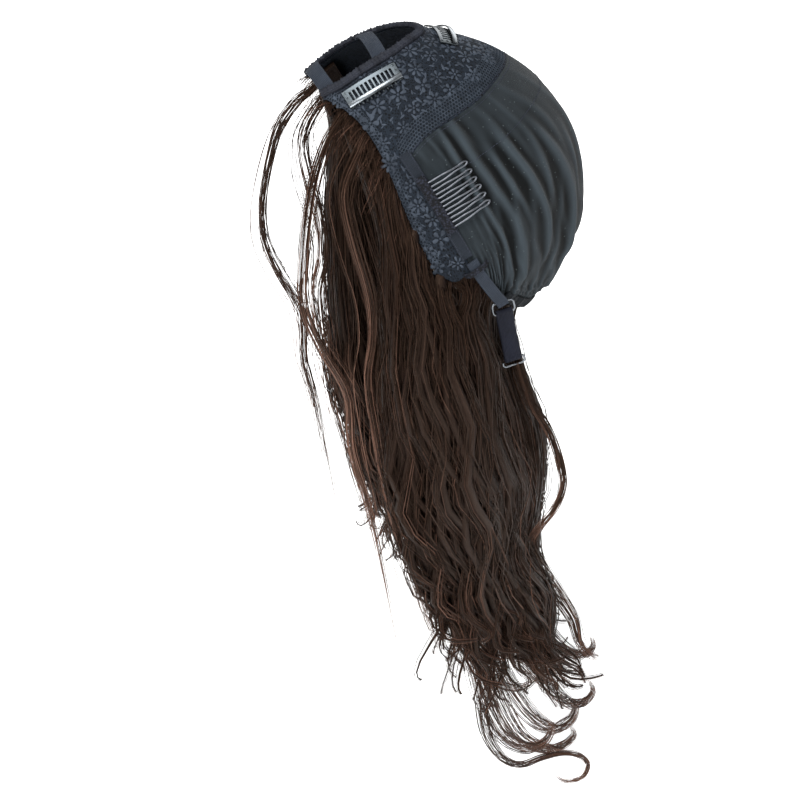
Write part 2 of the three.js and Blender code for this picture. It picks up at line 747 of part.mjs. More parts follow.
const FRONT_LOCKS = [
  {
    path: [[29.5, -65.4, 54.6], [33, -72, 47], [40, -82, 36], [50, -93, 12], [58, -101, -30], [60, -102, -62], [62, -92, -92], [64, -76, -126], [66, -74, -164], [70, -66, -200], [76, -58, -246], [78, -46, -322]],
    radii: [1.8, 2.2, 3, 3, 3.2, 3.2, 3, 3.2, 3, 2.6, 2.2, 0.9],
    phase: 0,
  },
  {
    path: [[41, -53.5, 43.5], [48, -62, 34], [54, -73, 10], [60, -69, -20], [64, -60, -56], [66, -58, -86], [69, -62, -114], [73, -58, -150], [78, -50, -204], [80, -42, -238], [84, -28, -292], [86, -16, -330]],
    radii: [2.6, 4, 4.6, 5, 5, 5, 5.2, 5.4, 5, 4.6, 4, 1.5],
    phase: 0,
  },
];

// Smooth value along a list of numbers at a share from 0 to 1
function listValue(values, share) {
  const rows = values.map((value, i) => ({ at: i / (values.length - 1), value }));
  return tableValue(rows, "at", "value", share);
}

function hairLock(lock, count, sides, sway) {
  const shares = steps(0, 1, count);
  const points = shares.map((share) => {
    const point = vec(...[0, 1, 2].map((k) => listValue(lock.path.map((place) => place[k]), share)));
    const swing = sway * THREE.MathUtils.smoothstep(share, 0.25, 0.6);
    const turn = lock.phase + 9 * share;
    return point.add(vec(0.7 * swing * Math.cos(turn), swing * Math.sin(turn), 0));
  });
  const ups = points.map((p, i) => {
    const along = points[Math.min(i + 1, count)].clone().sub(points[Math.max(i - 1, 0)]).normalize();
    const outward = vec(p.x, p.y - 10, 0);
    return outward.addScaledVector(along, -outward.dot(along)).normalize();
  });
  const profile = (i) => {
    const radius = Math.max(listValue(lock.radii, shares[i]), 0.8);
    const flat = 1 - THREE.MathUtils.smoothstep(shares[i], 0, 0.25);
    return polygon(sides, radius * (1 + 0.5 * flat), radius * (0.86 - 0.3 * flat));
  };
  return loft(bandRings(points, ups, profile));
}

function opposite(lock) {
  return { ...lock, path: lock.path.map(([x, y, z]) => [-x, y, z]), phase: lock.phase + 1.4 };
}

function hair() {
  const thick = [...LEFT_LOCKS, ...BACK_LOCKS];
  const locks = [...thick, ...thick.map(opposite)].map((lock) => hairLock(lock, LOCK_STEPS, LOCK_SIDES, 3));
  const thin = [...FRONT_LOCKS, ...FRONT_LOCKS.map(opposite)].map((lock) => hairLock(lock, 13, 5, 0));
  thin.push(hairLock(TAIL_CURL, 18, 5, 0));
  const grown = toSolid(joined([hairLayer(), ...locks, ...thin]));
  return fromSolid(grown.subtract(toSolid(capRoom())));
}

// Assembly
const seat = lifted(direction(SEAT_ANGLE, 0), -SEAT_DEPTH);
const wig = new THREE.Group();
wig.name = "half_wig";

function add(name, geometry, color, roughness, metalness = 0) {
  const placed = geometry.clone();
  placed.translate(-seat.x, -seat.y, -seat.z);
  placed.computeVertexNormals();
  const material = new THREE.MeshStandardMaterial({ color, roughness, metalness });
  const mesh = new THREE.Mesh(placed, material);
  mesh.name = name;
  wig.add(mesh);
}

function addPair(name, geometry, color, roughness, metalness = 0) {
  add(`${name}_left`, geometry, color, roughness, metalness);
  add(`${name}_right`, mirrored(geometry), color, roughness, metalness);
}

add("lace_panel", lacePanel(), 0x2b2f3a, 0.85);
add("back_panel", backPanel(), 0x2c3236, 0.9);
add("opening_binding", openingBinding(), 0x363a42, 0.9);
add("strap_front", openingStrap(57, 19.6), 0x4a4a55, 0.85);
add("strap_middle", openingStrap(72.5, 18.6), 0x4a4a55, 0.85);
addPair("side_tape", sideTape(), 0x33363f, 0.9);
addPair("comb_sleeve", combSleeve(), 0x2a2d36, 0.9);
addPair("side_comb", sideComb(), 0x5a5d63, 0.35, 0.9);
addPair("strap_keeper", strapKeeper(), 0x33363f, 0.9);
addPair("nape_strap", napeStrap(), 0x4a4a55, 0.85);
addPair("slider", slider(), 0x8a8d92, 0.4, 0.8);
addPair("strap_tail", strapTail(), 0x1c1f2b, 0.9);
addPair("end_hook", endHook(), 0xb0b3b6, 0.3, 0.9);
add("nape_band", napeBand(), 0x30343a, 0.9);
addPair("clip_plate", clipPlate(SIDE_CLIP), 0x8d9196, 0.35, 0.9);
addPair("clip_bar", clipBar(SIDE_CLIP), 0xa8acb0, 0.3, 0.9);
add("clip_plate_back", clipPlate(BACK_CLIP), 0x8d9196, 0.35, 0.9);
add("clip_bar_back", clipBar(BACK_CLIP), 0xa8acb0, 0.3, 0.9);
add("hair", hair(), 0x2b1d18, 0.6);

export default wig;
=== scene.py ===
import json
import math

import bpy
import numpy as np
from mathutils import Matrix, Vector
from mathutils.bvhtree import BVHTree

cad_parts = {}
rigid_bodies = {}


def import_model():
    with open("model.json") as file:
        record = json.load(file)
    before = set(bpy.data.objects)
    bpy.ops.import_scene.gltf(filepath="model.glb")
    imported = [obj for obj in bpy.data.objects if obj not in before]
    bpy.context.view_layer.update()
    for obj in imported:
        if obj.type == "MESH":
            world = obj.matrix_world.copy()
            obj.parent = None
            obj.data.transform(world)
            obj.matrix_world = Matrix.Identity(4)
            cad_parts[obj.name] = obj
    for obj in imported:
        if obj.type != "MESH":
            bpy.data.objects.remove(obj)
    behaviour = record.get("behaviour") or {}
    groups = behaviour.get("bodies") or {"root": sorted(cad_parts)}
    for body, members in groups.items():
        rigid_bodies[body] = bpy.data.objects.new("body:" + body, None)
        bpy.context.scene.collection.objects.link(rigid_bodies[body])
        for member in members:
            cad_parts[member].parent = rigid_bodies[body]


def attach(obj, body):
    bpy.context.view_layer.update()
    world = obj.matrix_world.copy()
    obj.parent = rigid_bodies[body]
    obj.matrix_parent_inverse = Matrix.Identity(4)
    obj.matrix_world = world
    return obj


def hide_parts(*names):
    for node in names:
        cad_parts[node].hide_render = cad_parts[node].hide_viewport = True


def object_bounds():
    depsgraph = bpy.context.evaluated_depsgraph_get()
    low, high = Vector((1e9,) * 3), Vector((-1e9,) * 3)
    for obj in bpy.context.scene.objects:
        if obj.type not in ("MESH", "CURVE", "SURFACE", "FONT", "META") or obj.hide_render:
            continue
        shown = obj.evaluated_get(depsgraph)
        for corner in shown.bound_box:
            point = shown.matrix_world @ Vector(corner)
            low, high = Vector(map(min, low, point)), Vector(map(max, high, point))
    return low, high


for leftover in list(bpy.data.objects):
    bpy.data.objects.remove(leftover)
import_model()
CAD_BOX = [list(corner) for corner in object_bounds()]
MM = 0.001

# Head form under the cap, in millimetres round its own axis, as in the part
HEAD_AXIS_Y = 2
HEAD_AXIS_Z = -52
EAR_HALF_WIDTH = 84
HEAD_FORM = [
    {"angle": 35, "radius": 138, "half_width": 56},
    {"angle": 50, "radius": 146, "half_width": 60},
    {"angle": 65, "radius": 151, "half_width": 68},
    {"angle": 80, "radius": 148, "half_width": 74},
    {"angle": 95, "radius": 139, "half_width": 78},
    {"angle": 110, "radius": 132, "half_width": 80},
    {"angle": 125, "radius": 125, "half_width": 80},
    {"angle": 140, "radius": 116, "half_width": 79},
    {"angle": 155, "radius": 106, "half_width": 78},
    {"angle": 170, "radius": 99, "half_width": 76},
    {"angle": 185, "radius": 89, "half_width": 72},
    {"angle": 200, "radius": 80, "half_width": 69},
    {"angle": 225, "radius": 71, "half_width": 66},
]

# Edges of the cap on the left half, from the front corner round to the middle of the back
OPENING_EDGE = [
    {"share": 0, "angle": 54.5, "side": 21},
    {"share": 0.14, "angle": 60.5, "side": 23.5},
    {"share": 0.29, "angle": 66.5, "side": 23},
    {"share": 0.43, "angle": 72, "side": 21.4},
    {"share": 0.57, "angle": 77.2, "side": 18.2},
    {"share": 0.71, "angle": 81.8, "side": 13},
    {"share": 0.86, "angle": 85.4, "side": 7},
    {"share": 1, "angle": 86.6, "side": 0},
]
LOWER_EDGE = [
    {"share": 0, "angle": 25.5, "side": 79.8},
    {"share": 0.1, "angle": 23, "side": 85},
    {"share": 0.2, "angle": 96, "side": 86},
    {"share": 0.29, "angle": 174, "side": 82.5},
    {"share": 0.43, "angle": 205, "side": 73},
    {"share": 0.57, "angle": 213, "side": 58},
    {"share": 0.71, "angle": 215, "side": 40},
    {"share": 0.86, "angle": 215, "side": 20},
    {"share": 1, "angle": 214, "side": 0},
]
LACE_EDGE = [
    {"side": 0, "angle": 111},
    {"side": 18, "angle": 107},
    {"side": 35, "angle": 98},
    {"side": 45, "angle": 86},
    {"side": 51, "angle": 73},
    {"side": 60, "angle": 54},
]
FRONT_EDGE_BOW = 8
SIDE_SEAM = 0.2
LACE_THICKNESS = 1.4
BACK_THICKNESS = 1.6
GAP = 0.35
SEAM_GAP = 0.45
BINDING_WIDTH = 4.2
BINDING_HEIGHT = 2.2
STRAP_WIDTH = 10
STRAP_THICKNESS = 1.2
TAPE_WIDTH = 7.6
TAPE_LIFT = 0.7
TAPE_THICKNESS = 0.9
SLEEVE_WIDTH = 6.4
SLEEVE_THICKNESS = 1.8
SLEEVE_BEHIND = 1.2
SLEEVE_FROM = 0.565
SLEEVE_TO = 0.815
SLEEVE_STEPS = 64
NAPE_STRAP_WIDTH = 8
LEFT = 1
RIGHT = -1
SIDES = ((LEFT, "left"), (RIGHT, "right"))


def smooth_value(keys, values, key):
    """Smooth curve through values at keys."""
    last = len(keys) - 1
    key = np.clip(key, keys[0], keys[-1])
    i = np.clip(np.searchsorted(keys, key, side="right") - 1, 0, last - 1)
    before = np.maximum(np.arange(last + 1) - 1, 0)
    after = np.minimum(np.arange(last + 1) + 1, last)
    slopes = (values[after] - values[before]) / (keys[after] - keys[before])
    step = keys[i + 1] - keys[i]
    t = (key - keys[i]) / step
    start = (2 * t**3 - 3 * t**2 + 1) * values[i] + (t**3 - 2 * t**2 + t) * step * slopes[i]
    end = (3 * t**2 - 2 * t**3) * values[i + 1] + (t**3 - t**2) * step * slopes[i + 1]
    return start + end


def table_value(table, key_name, column, key):
    keys = np.array([row[key_name] for row in table], float)
    values = np.array([row[column] for row in table], float)
    return smooth_value(keys, values, key)


def smoothstep(x, low, high):
    t = np.clip((x - low) / (high - low), 0, 1)
    return t * t * (3 - 2 * t)


def bump(x, centre, width):
    return np.exp(-(((x - centre) / width) ** 2))


def ridge(x, sharpness=1.6):
    return (0.5 + 0.5 * np.sin(2 * np.pi * x)) ** sharpness


def unit(vectors):
    return vectors / np.maximum(np.linalg.norm(vectors, axis=-1, keepdims=True), 1e-9)


def direction(angle, side):
    """Direction from the head axis: angle from the face over the crown, side towards the left ear."""
    a, s = np.broadcast_arrays(np.radians(angle), np.radians(side))
    return np.stack([np.sin(s), -np.cos(s) * np.cos(a), np.cos(s) * np.sin(a)], -1)


def angle_of(dirs):
    angle = np.degrees(np.arctan2(dirs[..., 2], -dirs[..., 1]))
    return np.where(angle < -60, angle + 360, angle)


def side_of(dirs):
    return np.degrees(np.arcsin(np.clip(dirs[..., 0], -1, 1)))


def head_point(dirs):
    across = np.hypot(dirs[..., 1], dirs[..., 2])
    angle = angle_of(dirs)
    radius = table_value(HEAD_FORM, "angle", "radius", angle) - 3.5 * bump(angle, 179, 7) * across
    half_width = table_value(HEAD_FORM, "angle", "half_width", angle)
    width = EAR_HALF_WIDTH + (half_width - EAR_HALF_WIDTH) * across
    x = width * dirs[..., 0]
    return np.stack([x, HEAD_AXIS_Y + radius * dirs[..., 1], HEAD_AXIS_Z + radius * dirs[..., 2]], -1)


def head_normal(dirs):
    flat = np.stack([-dirs[..., 1], dirs[..., 0], np.zeros(dirs.shape[:-1])], -1)
    polar = (flat**2).sum(-1, keepdims=True) <= 0.01
    e1 = np.where(polar, np.array([1.0, 0, 0]), flat)
    e1 = unit(e1 - (e1 * dirs).sum(-1, keepdims=True) * dirs)
    e2 = np.cross(dirs, e1)
    h = 0.02
    d1 = head_point(unit(dirs + h * e1)) - head_point(unit(dirs - h * e1))
    d2 = head_point(unit(dirs + h * e2)) - head_point(unit(dirs - h * e2))
    normal = unit(np.cross(d1, d2))
    return normal * np.sign((normal * dirs).sum(-1, keepdims=True))


def lifted(dirs, lift):
    return head_point(dirs) + head_normal(dirs) * np.asarray(lift, float)[..., None]


def direction_to(points):
    """Direction of the place of the head form nearest to each point."""
    x, y, z = points[..., 0], points[..., 1], points[..., 2]
    guess = unit(np.stack([x / 80, (y - HEAD_AXIS_Y) / 110, (z - HEAD_AXIS_Z) / 110], -1))
    for _ in range(6):
        normal = head_normal(guess)
        off = points - head_point(guess)
        off = off - (off * normal).sum(-1, keepdims=True) * normal
        guess = unit(guess + off / np.array([82, 115, 115]))
    return guess


def edge_direction(edge, share):
    keys = np.array([row["share"] for row in edge], float)
    dirs = np.array([direction(row["angle"], row["side"]) for row in edge])
    return unit(np.stack([smooth_value(keys, dirs[:, k], share) for k in range(3)], -1))


def spoke(half, share, t):
    """Direction on the cap: half is its side, share runs round it, t from the opening to the lower edge."""
    half, share, t = np.broadcast_arrays(np.asarray(half, float), share, t)
    start = edge_direction(OPENING_EDGE, share)
    end = edge_direction(LOWER_EDGE, share)
    arc = np.arccos(np.clip((start * end).sum(-1), -1, 1))[..., None]
    mixed = np.sin((1 - t[..., None]) * arc) * start + np.sin(t[..., None] * arc) * end
    dirs = unit(mixed / np.sin(arc))
    turn = np.radians(FRONT_EDGE_BOW * np.sin(np.pi * np.clip(t, 0, 1)) * bump(share, 0, 0.12))
    y = dirs[..., 1] * np.cos(turn) + dirs[..., 2] * np.sin(turn)
    z = -dirs[..., 1] * np.sin(turn) + dirs[..., 2] * np.cos(turn)
    return np.stack([dirs[..., 0] * half, y, z], -1)


def turned_to(half, dirs):
    """Directions of the left half turned to the side that half names."""
    same = np.ones(dirs.shape[:-1])
    return dirs * np.stack([half * same, same, same], -1)


def in_opening(half, share, distance):
    """Direction of a place square off the opening's edge, inwards."""
    half, share, distance = np.broadcast_arrays(np.asarray(half, float), share, distance)
    edge = lambda at: head_point(edge_direction(OPENING_EDGE, np.clip(at, 0, 1)))
    along = unit(edge(share + 0.02) - edge(share - 0.02))
    dirs = edge_direction(OPENING_EDGE, share)
    inwards = unit(np.cross(head_normal(dirs), along))
    place = direction_to(head_point(dirs) + inwards * distance[..., None])
    place = turned_to(np.where(share >= 1, 0, half), place)
    return unit(place)


def beside_spoke(half, share, t, distance):
    """Direction of a place set off backwards from a spoke along the surface."""
    half, share, t, distance = np.broadcast_arrays(np.asarray(half, float), share, t, distance)
    at = spoke(1, share, t)
    along = unit(head_point(spoke(1, share, t + 0.01)) - head_point(spoke(1, share, t - 0.01)))
    backwards = unit(np.cross(head_normal(at), along))
    return turned_to(half, direction_to(head_point(at) + backwards * distance[..., None]))


def spoke_length(share):
    places = head_point(spoke(1, np.asarray(share, float)[..., None], np.linspace(0, 1, 13)))
    return np.linalg.norm(np.diff(places, axis=-2), axis=-1).sum(-1)


def lace_end(share):
    at = np.maximum(share, SIDE_SEAM)
    low, high = np.zeros(np.shape(at)), np.ones(np.shape(at))
    for _ in range(24):
        t = (low + high) / 2
        dirs = spoke(1, at, t)
        beyond = angle_of(dirs) > table_value(LACE_EDGE, "side", "angle", side_of(dirs))
        high = np.where(beyond, t, high)
        low = np.where(beyond, low, t)
    return low


SEAT = lifted(direction(100, 0), -LACE_THICKNESS)


def in_row(points):
    """From the head's millimetres to the row frame's metres."""
    return (np.asarray(points, float) - SEAT) * MM


# Colour and material helpers
def colour(hex_text):
    """sRGB hex to the linear values that Blender works in."""
    parts = [int(hex_text[k : k + 2], 16) / 255 for k in (1, 3, 5)]
    return tuple(c / 12.92 if c <= 0.04045 else ((c + 0.055) / 1.055) ** 2.4 for c in parts) + (1.0,)


def add_node(tree, kind, settings=None, links=None):
    """Adds a node; settings name its properties or inputs, links join outputs to its inputs."""
    node = tree.nodes.new(kind)
    for name, value in (settings or {}).items():
        if isinstance(name, str) and hasattr(node, name):
            setattr(node, name, value)
        else:
            node.inputs[name].default_value = value
    for name, output in (links or {}).items():
        tree.links.new(output, node.inputs[name])
    return node


def new_material(name):
    material = bpy.data.materials.new(name)
    material.use_nodes = True
    tree = material.node_tree
    return material, tree, tree.nodes["Principled BSDF"]


def set_shader(shader, **values):
    for name, value in values.items():
        shader.inputs[name.replace("_", " ").title().replace("Ior", "IOR")].default_value = value


def mix_colours(tree, factor, low, high, start=0.0, end=1.0, middle=None):
    """Two hex colours mixed by a factor output from start to end, with a (place, colour) between them."""
    ramp = add_node(tree, "ShaderNodeValToRGB", links={"Fac": factor})
    elements = ramp.color_ramp.elements
    elements[0].color, elements[0].position = colour(low), start
    elements[1].color, elements[1].position = colour(high), end
    if middle:
        elements.new(middle[0]).color = colour(middle[1])
    return ramp.outputs[0]


def join(tree, socket, value):
    """Sets a socket to a number or a hex colour, or links an output to it."""
    if isinstance(value, str):
        socket.default_value = colour(value)
    elif isinstance(value, (int, float)):
        socket.default_value = value
    else:
        tree.links.new(value, socket)


def maths(tree, operation, *terms):
    """The result of a sum on outputs and plain numbers."""
    node = add_node(tree, "ShaderNodeMath", {"operation": operation})
    for socket, term in zip(node.inputs, terms):
        join(tree, socket, term)
    return node.outputs[0]


def mixed_by(tree, factor, low, high):
    """Two colours, each a hex colour or an output, mixed by a factor output."""
    mix = add_node(tree, "ShaderNodeMix", {"data_type": "RGBA"}, {0: factor})
    join(tree, mix.inputs[6], low)
    join(tree, mix.inputs[7], high)
    return mix.outputs[2]


def noise(tree, scale, detail, place):
    """Random tone from 0 to 1 over a material's coordinates."""
    texture = add_node(tree, "ShaderNodeTexNoise", {"Scale": scale, "Detail": detail}, {"Vector": place})
    return texture.outputs["Fac"]


def in_range(tree, value, low, high, to_low, to_high):
    """A value between low and high carried over to another range."""
    node = add_node(tree, "ShaderNodeMapRange", {1: low, 2: high, 3: to_low, 4: to_high}, {0: value})
    return node.outputs[0]


def finish(tree, shader, tone, height, strength, distance, **values):
    """Joins a tone and a relief, its depth in metres, to the shader and sets the shader's plain values."""
    tree.links.new(tone, shader.inputs["Base Color"])
    settings = {"Strength": strength, "Distance": distance}
    relief = add_node(tree, "ShaderNodeBump", settings, {"Height": height})
    tree.links.new(relief.outputs[0], shader.inputs["Normal"])
    set_shader(shader, **values)
    return relief


def cloth_coordinates(tree):
    """The piece's own map, in millimetres along and across the cloth."""
    uv = add_node(tree, "ShaderNodeUVMap", {"uv_map": "cloth"})
    return uv.outputs["UV"]


def object_coordinates(tree):
    return add_node(tree, "ShaderNodeTexCoord").outputs["Object"]


def brushed_stretch_knit():
    """Polyamide stretch knit, brushed: matt greenish charcoal with fine ribs, soft tone changes and lint,
    with painted light and shade on its folds.
    """
    material, tree, shader = new_material("brushed_stretch_knit")
    place = object_coordinates(tree)
    # Painted light and shade: the folds' ridges are painted paler and their furrows darker, over random tone
    # changes
    painted_fold_light_and_shade_node = add_node(tree, "ShaderNodeAttribute", {"attribute_name": "ridge"})
    noise_and_painted_fold_light = maths(tree, "MULTIPLY_ADD", noise(tree, 38, 5, place), 0.3, painted_fold_light_and_shade_node.outputs["Fac"])
    knit_tone_with_painted_fold_light = mix_colours(tree, noise_and_painted_fold_light, "#040607", "#30373c", 0.26, 0.82)
    # Lint: specks of 0.5 mm, one to every 7 mm or so
    lint = add_node(tree, "ShaderNodeTexVoronoi", {"Scale": 260}, {"Vector": place})
    speck = maths(tree, "LESS_THAN", lint.outputs["Distance"], 0.09)
    tone = mixed_by(tree, speck, knit_tone_with_painted_fold_light, "#454c4e")
    # Ribs 0.9 mm apart, coarser than the real 0.4 mm so that they show
    wave = {"Scale": 0.55, "Distortion": 1.2, "Detail": 2, "Detail Scale": 2}
    ribs = add_node(tree, "ShaderNodeTexWave", wave, {"Vector": cloth_coordinates(tree)})
    height = maths(tree, "ADD", ribs.outputs["Fac"], noise(tree, 900, 3, place))
    matt = {"roughness": 0.92, "specular_ior_level": 0.12, "sheen_weight": 0.05}
    finish(tree, shader, tone, height, 0.4, 0.0003, **matt)
    return material


def stretch_lace_net():
    """Knitted nylon net ground of stretch lace: blue-black holes under a fine charcoal mesh."""
    material, tree, shader = new_material("stretch_lace_net")
    # Net cells 1.9 mm across
    cells = {"feature": "DISTANCE_TO_EDGE", "Scale": 0.52, "Randomness": 0.65}
    net = add_node(tree, "ShaderNodeTexVoronoi", cells, {"Vector": cloth_coordinates(tree)})
    thread = in_range(tree, net.outputs["Distance"], 0.08, 0.26, 1.0, 0.0)
    shade = mix_colours(tree, noise(tree, 60, 3, object_coordinates(tree)), "#0f1319", "#1e252e")
    tone = mixed_by(tree, thread, "#06080b", shade)
    finish(tree, shader, tone, thread, 0.6, 0.0003, roughness=0.88, specular_ior_level=0.15)
    return material


def lace_thread(name, low, high):
    """Spun lace thread laid close in flowers, leaves and cords, with a soft grey sheen."""
    material, tree, shader = new_material(name)
    place = object_coordinates(tree)
    tone = mix_colours(tree, noise(tree, 140, 4, place), low, high, 0.25, 0.75)
    # Threads about 0.5 mm apart
    thread = {"Scale": 320, "Distortion": 6, "Detail": 2}
    strands = add_node(tree, "ShaderNodeTexWave", thread, {"Vector": place})
    finish(tree, shader, tone, strands.outputs["Fac"], 0.5, 0.0002, roughness=0.7, specular_ior_level=0.2)
    return material


def woven_elastic(name, low, high, rib_scale):
    """Woven elastic tape: lengthwise rubber ribs under a smooth polyester face."""
    material, tree, shader = new_material(name)
    parts = add_node(tree, "ShaderNodeSeparateXYZ", links={"Vector": cloth_coordinates(tree)})
    rib = maths(tree, "SINE", maths(tree, "MULTIPLY", parts.outputs["Y"], rib_scale))
    weft = maths(tree, "SINE", maths(tree, "MULTIPLY", parts.outputs["X"], 9.0))
    weave = maths(tree, "MULTIPLY_ADD", weft, 0.35, rib)
    shade = maths(tree, "MULTIPLY_ADD", weave, 0.28, noise(tree, 90, 4, object_coordinates(tree)))
    tone = mix_colours(tree, shade, low, high)
    finish(tree, shader, tone, weave, 0.7, 0.0003, roughness=0.72, specular_ior_level=0.2)
    return material


def corded_lace():
    """Corded lace over the comb: dark cloth with small raised knots about 1.6 mm apart."""
    material, tree, shader = new_material("corded_lace")
    cells = {"Scale": 620, "Randomness": 0.8}
    knots = add_node(tree, "ShaderNodeTexVoronoi", cells, {"Vector": object_coordinates(tree)})
    distance = knots.outputs["Distance"]
    tone = mix_colours(tree, distance, "#282b37", "#08090d", 0.0, 0.6)
    relief = finish(tree, shader, tone, distance, 0.8, 0.0005, roughness=0.85, specular_ior_level=0.2)
    relief.invert = True
    return material


def plated_steel(name, low, high, rough, grain):
    """Nickel-plated spring steel: drawn or stamped, with fine lengthwise marks and duller rubbed patches."""
    material, tree, shader = new_material(name)
    stretch = add_node(tree, "ShaderNodeMapping", {"Scale": grain}, {"Vector": object_coordinates(tree)})
    marks = noise(tree, 400, 6, stretch.outputs[0])
    wear = in_range(tree, marks, 0.0, 1.0, rough - 0.08, rough + 0.14)
    tree.links.new(wear, shader.inputs["Roughness"])
    finish(tree, shader, mix_colours(tree, marks, low, high), marks, 0.12, 0.0001, metallic=1.0)
    return material


def wavy_hair(name, dark, brown, edge, rough):
    """Dark brown hair: near black in the mass, with brown strands and reddish thin edges. The reddish top of
    the ramp is partly the hair's own paler strands and partly painted highlight and painted light through the
    thin ends.
    """
    material, tree, shader = new_material(name)
    tone = add_node(tree, "ShaderNodeAttribute", {"attribute_name": "tone"})
    ramp = mix_colours(tree, tone.outputs["Fac"], dark, edge, middle=(0.55, brown))
    # Single hairs about 0.4 mm apart round each clump, drawn out along it
    around = add_node(tree, "ShaderNodeAttribute", {"attribute_name": "strand_space"})
    strands = noise(tree, 2.2, 4, around.outputs["Vector"])
    shade = in_range(tree, strands, 0.3, 0.7, 0.22, 2.3)
    base = add_node(tree, "ShaderNodeVectorMath", {"operation": "SCALE"}, {0: ramp, "Scale": shade})
    sheen = {"roughness": rough, "specular_ior_level": 0.4, "specular_tint": colour("#c9a48c")}
    finish(tree, shader, base.outputs[0], strands, 0.9, 0.0006, **sheen)
    return material


def matt_floor():
    """Matt white studio floor."""
    material, tree, shader = new_material("matt_floor")
    grain = noise(tree, 40, 2, object_coordinates(tree))
    tree.links.new(mix_colours(tree, grain, "#f1f1f1", "#f7f7f7"), shader.inputs["Base Color"])
    set_shader(shader, roughness=0.95, emission_strength=0.45, emission_color=colour("#ffffff"))
    return material


KNIT = brushed_stretch_knit()
LACE_NET = stretch_lace_net()
LACE_FLOWERS = lace_thread("lace_flower_thread", "#1a1f27", "#3c444f")
NET_CORD = lace_thread("honeycomb_cord", "#1e242c", "#3a424c")
SEWING_THREAD = lace_thread("sewing_thread", "#1d2029", "#343844")
RUFFLE = lace_thread("ruffled_binding_cloth", "#101218", "#262932")
ELASTIC = woven_elastic("woven_elastic", "#1d222a", "#343b46", 7.0)
TAPE = woven_elastic("woven_seam_tape", "#11151b", "#242a33", 8.0)
DARK_STRAP = woven_elastic("dark_woven_strap", "#080a12", "#151827", 7.0)
NAPE_CLOTH = woven_elastic("gathered_nape_cloth", "#121518", "#24282c", 6.0)
SLEEVE = corded_lace()
CLIP_STEEL = plated_steel("stamped_clip_steel", "#262b2e", "#5a6064", 0.36, (1, 0.2, 1))
BAR_STEEL = plated_steel("bright_clip_bar", "#43484c", "#84898d", 0.28, (1, 0.2, 1))
COMB_WIRE = plated_steel("drawn_comb_wire", "#3a3c42", "#74777d", 0.28, (1, 1, 0.3))
BRIGHT_WIRE = plated_steel("nickel_wire", "#4a4e53", "#8a8e93", 0.25, (1, 1, 0.3))
HAIR = wavy_hair("dark_brown_hair", "#060403", "#271b15", "#75574a", 0.38)
# Darker copy of the hair for the clump bodies, lock cores and root layer: painted shade inside the hair mass
HAIR_IN_PAINTED_SHADE = wavy_hair("hair_in_painted_shade", "#060404", "#140c09", "#2a1a13", 0.45)
FLOOR = matt_floor()


# Mesh helpers
def add_object(name, data):
    """A new object in the scene."""
    added = bpy.data.objects.new(name, data)
    bpy.context.scene.collection.objects.link(added)
    return added


def give_values(mesh, name, kind, values):
    """A named number or vector at each point of a mesh, for its material or tree."""
    field = "vector" if kind == "FLOAT_VECTOR" else "value"
    attribute = mesh.attributes.new(name, kind, "POINT")
    attribute.data.foreach_set(field, np.asarray(values, np.float32).ravel())


def make_piece(name, vertices, faces, material, cloth=None, sharp=55):
    """A mesh piece from points in the head's millimetres, at the origin of the row frame."""
    mesh = bpy.data.meshes.new(name)
    mesh.from_pydata(in_row(vertices).tolist(), [], faces if isinstance(faces, list) else faces.tolist())
    mesh.materials.append(material)
    if cloth is not None:
        layer = mesh.uv_layers.new(name="cloth")
        index = np.zeros(len(mesh.loops), int)
        mesh.loops.foreach_get("vertex_index", index)
        layer.data.foreach_set("uv", np.asarray(cloth, np.float32)[index].ravel())
    mesh.shade_smooth()
    mesh.set_sharp_from_angle(angle=math.radians(sharp))
    return add_object(name, mesh)


def settle(piece, slot_name, *nodes, body="wig"):
    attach(piece, body)
    if nodes:
        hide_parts(*nodes)
    return piece


def lengths_along(points, least=0.0):
    """Distance along a path from its start to each of its points."""
    steps = np.linalg.norm(np.diff(points, axis=0), axis=1)
    return np.concatenate([[0], np.cumsum(np.maximum(steps, least))])


def headings(points):
    """Direction of an open path at each of its points."""
    places = np.arange(len(points))
    return unit(points[np.minimum(places + 1, len(points) - 1)] - points[np.maximum(places - 1, 0)])


def tube_faces(count, size, loop=False):
    """Faces round count rings of size points, with an end face on each end of an open tube."""
    i, k = np.meshgrid(np.arange(count if loop else count - 1), np.arange(size), indexing="ij")
    this, following = i * size, ((i + 1) % count) * size
    n = (k + 1) % size
    faces = np.stack([this + k, this + n, following + n, following + k], -1).reshape(-1, 4).tolist()
    if not loop:
        faces.append(list(range(size))[::-1])
        faces.append([(count - 1) * size + k for k in range(size)])
    return faces


def flipped(faces):
    return [face[::-1] for face in faces]


def loft(points, ups, profile, loop=False):
    """Closed body along points; profile is one outline or one per point, in (across, up) millimetres."""
    points, ups = np.asarray(points, float), np.asarray(ups, float)
    along = unit(np.roll(points, -1, 0) - np.roll(points, 1, 0)) if loop else headings(points)
    across = unit(np.cross(ups, along))
    up = np.cross(along, across)
    profile = np.broadcast_to(np.asarray(profile, float), (len(points),) + np.shape(profile)[-2:])
    rings = points[:, None] + across[:, None] * profile[..., :1] + up[:, None] * profile[..., 1:]
    cloth = np.stack(np.meshgrid(lengths_along(points), lengths_along(profile[0]), indexing="ij"), -1)
    return rings.reshape(-1, 3), tube_faces(len(points), profile.shape[1], loop), cloth.reshape(-1, 2)


def merged(parts):
    """Several (vertices, faces) bodies as one."""
    vertices, faces, base = [], [], 0
    for part_vertices, part_faces in parts:
        vertices.append(part_vertices)
        faces.extend([[base + corner for corner in face] for face in part_faces])
        base += len(part_vertices)
    return np.concatenate(vertices), faces


def circle(sides, radius):
    turn = 2 * np.pi * np.arange(sides) / sides
    return np.stack([radius * np.cos(turn), radius * np.sin(turn)], -1)


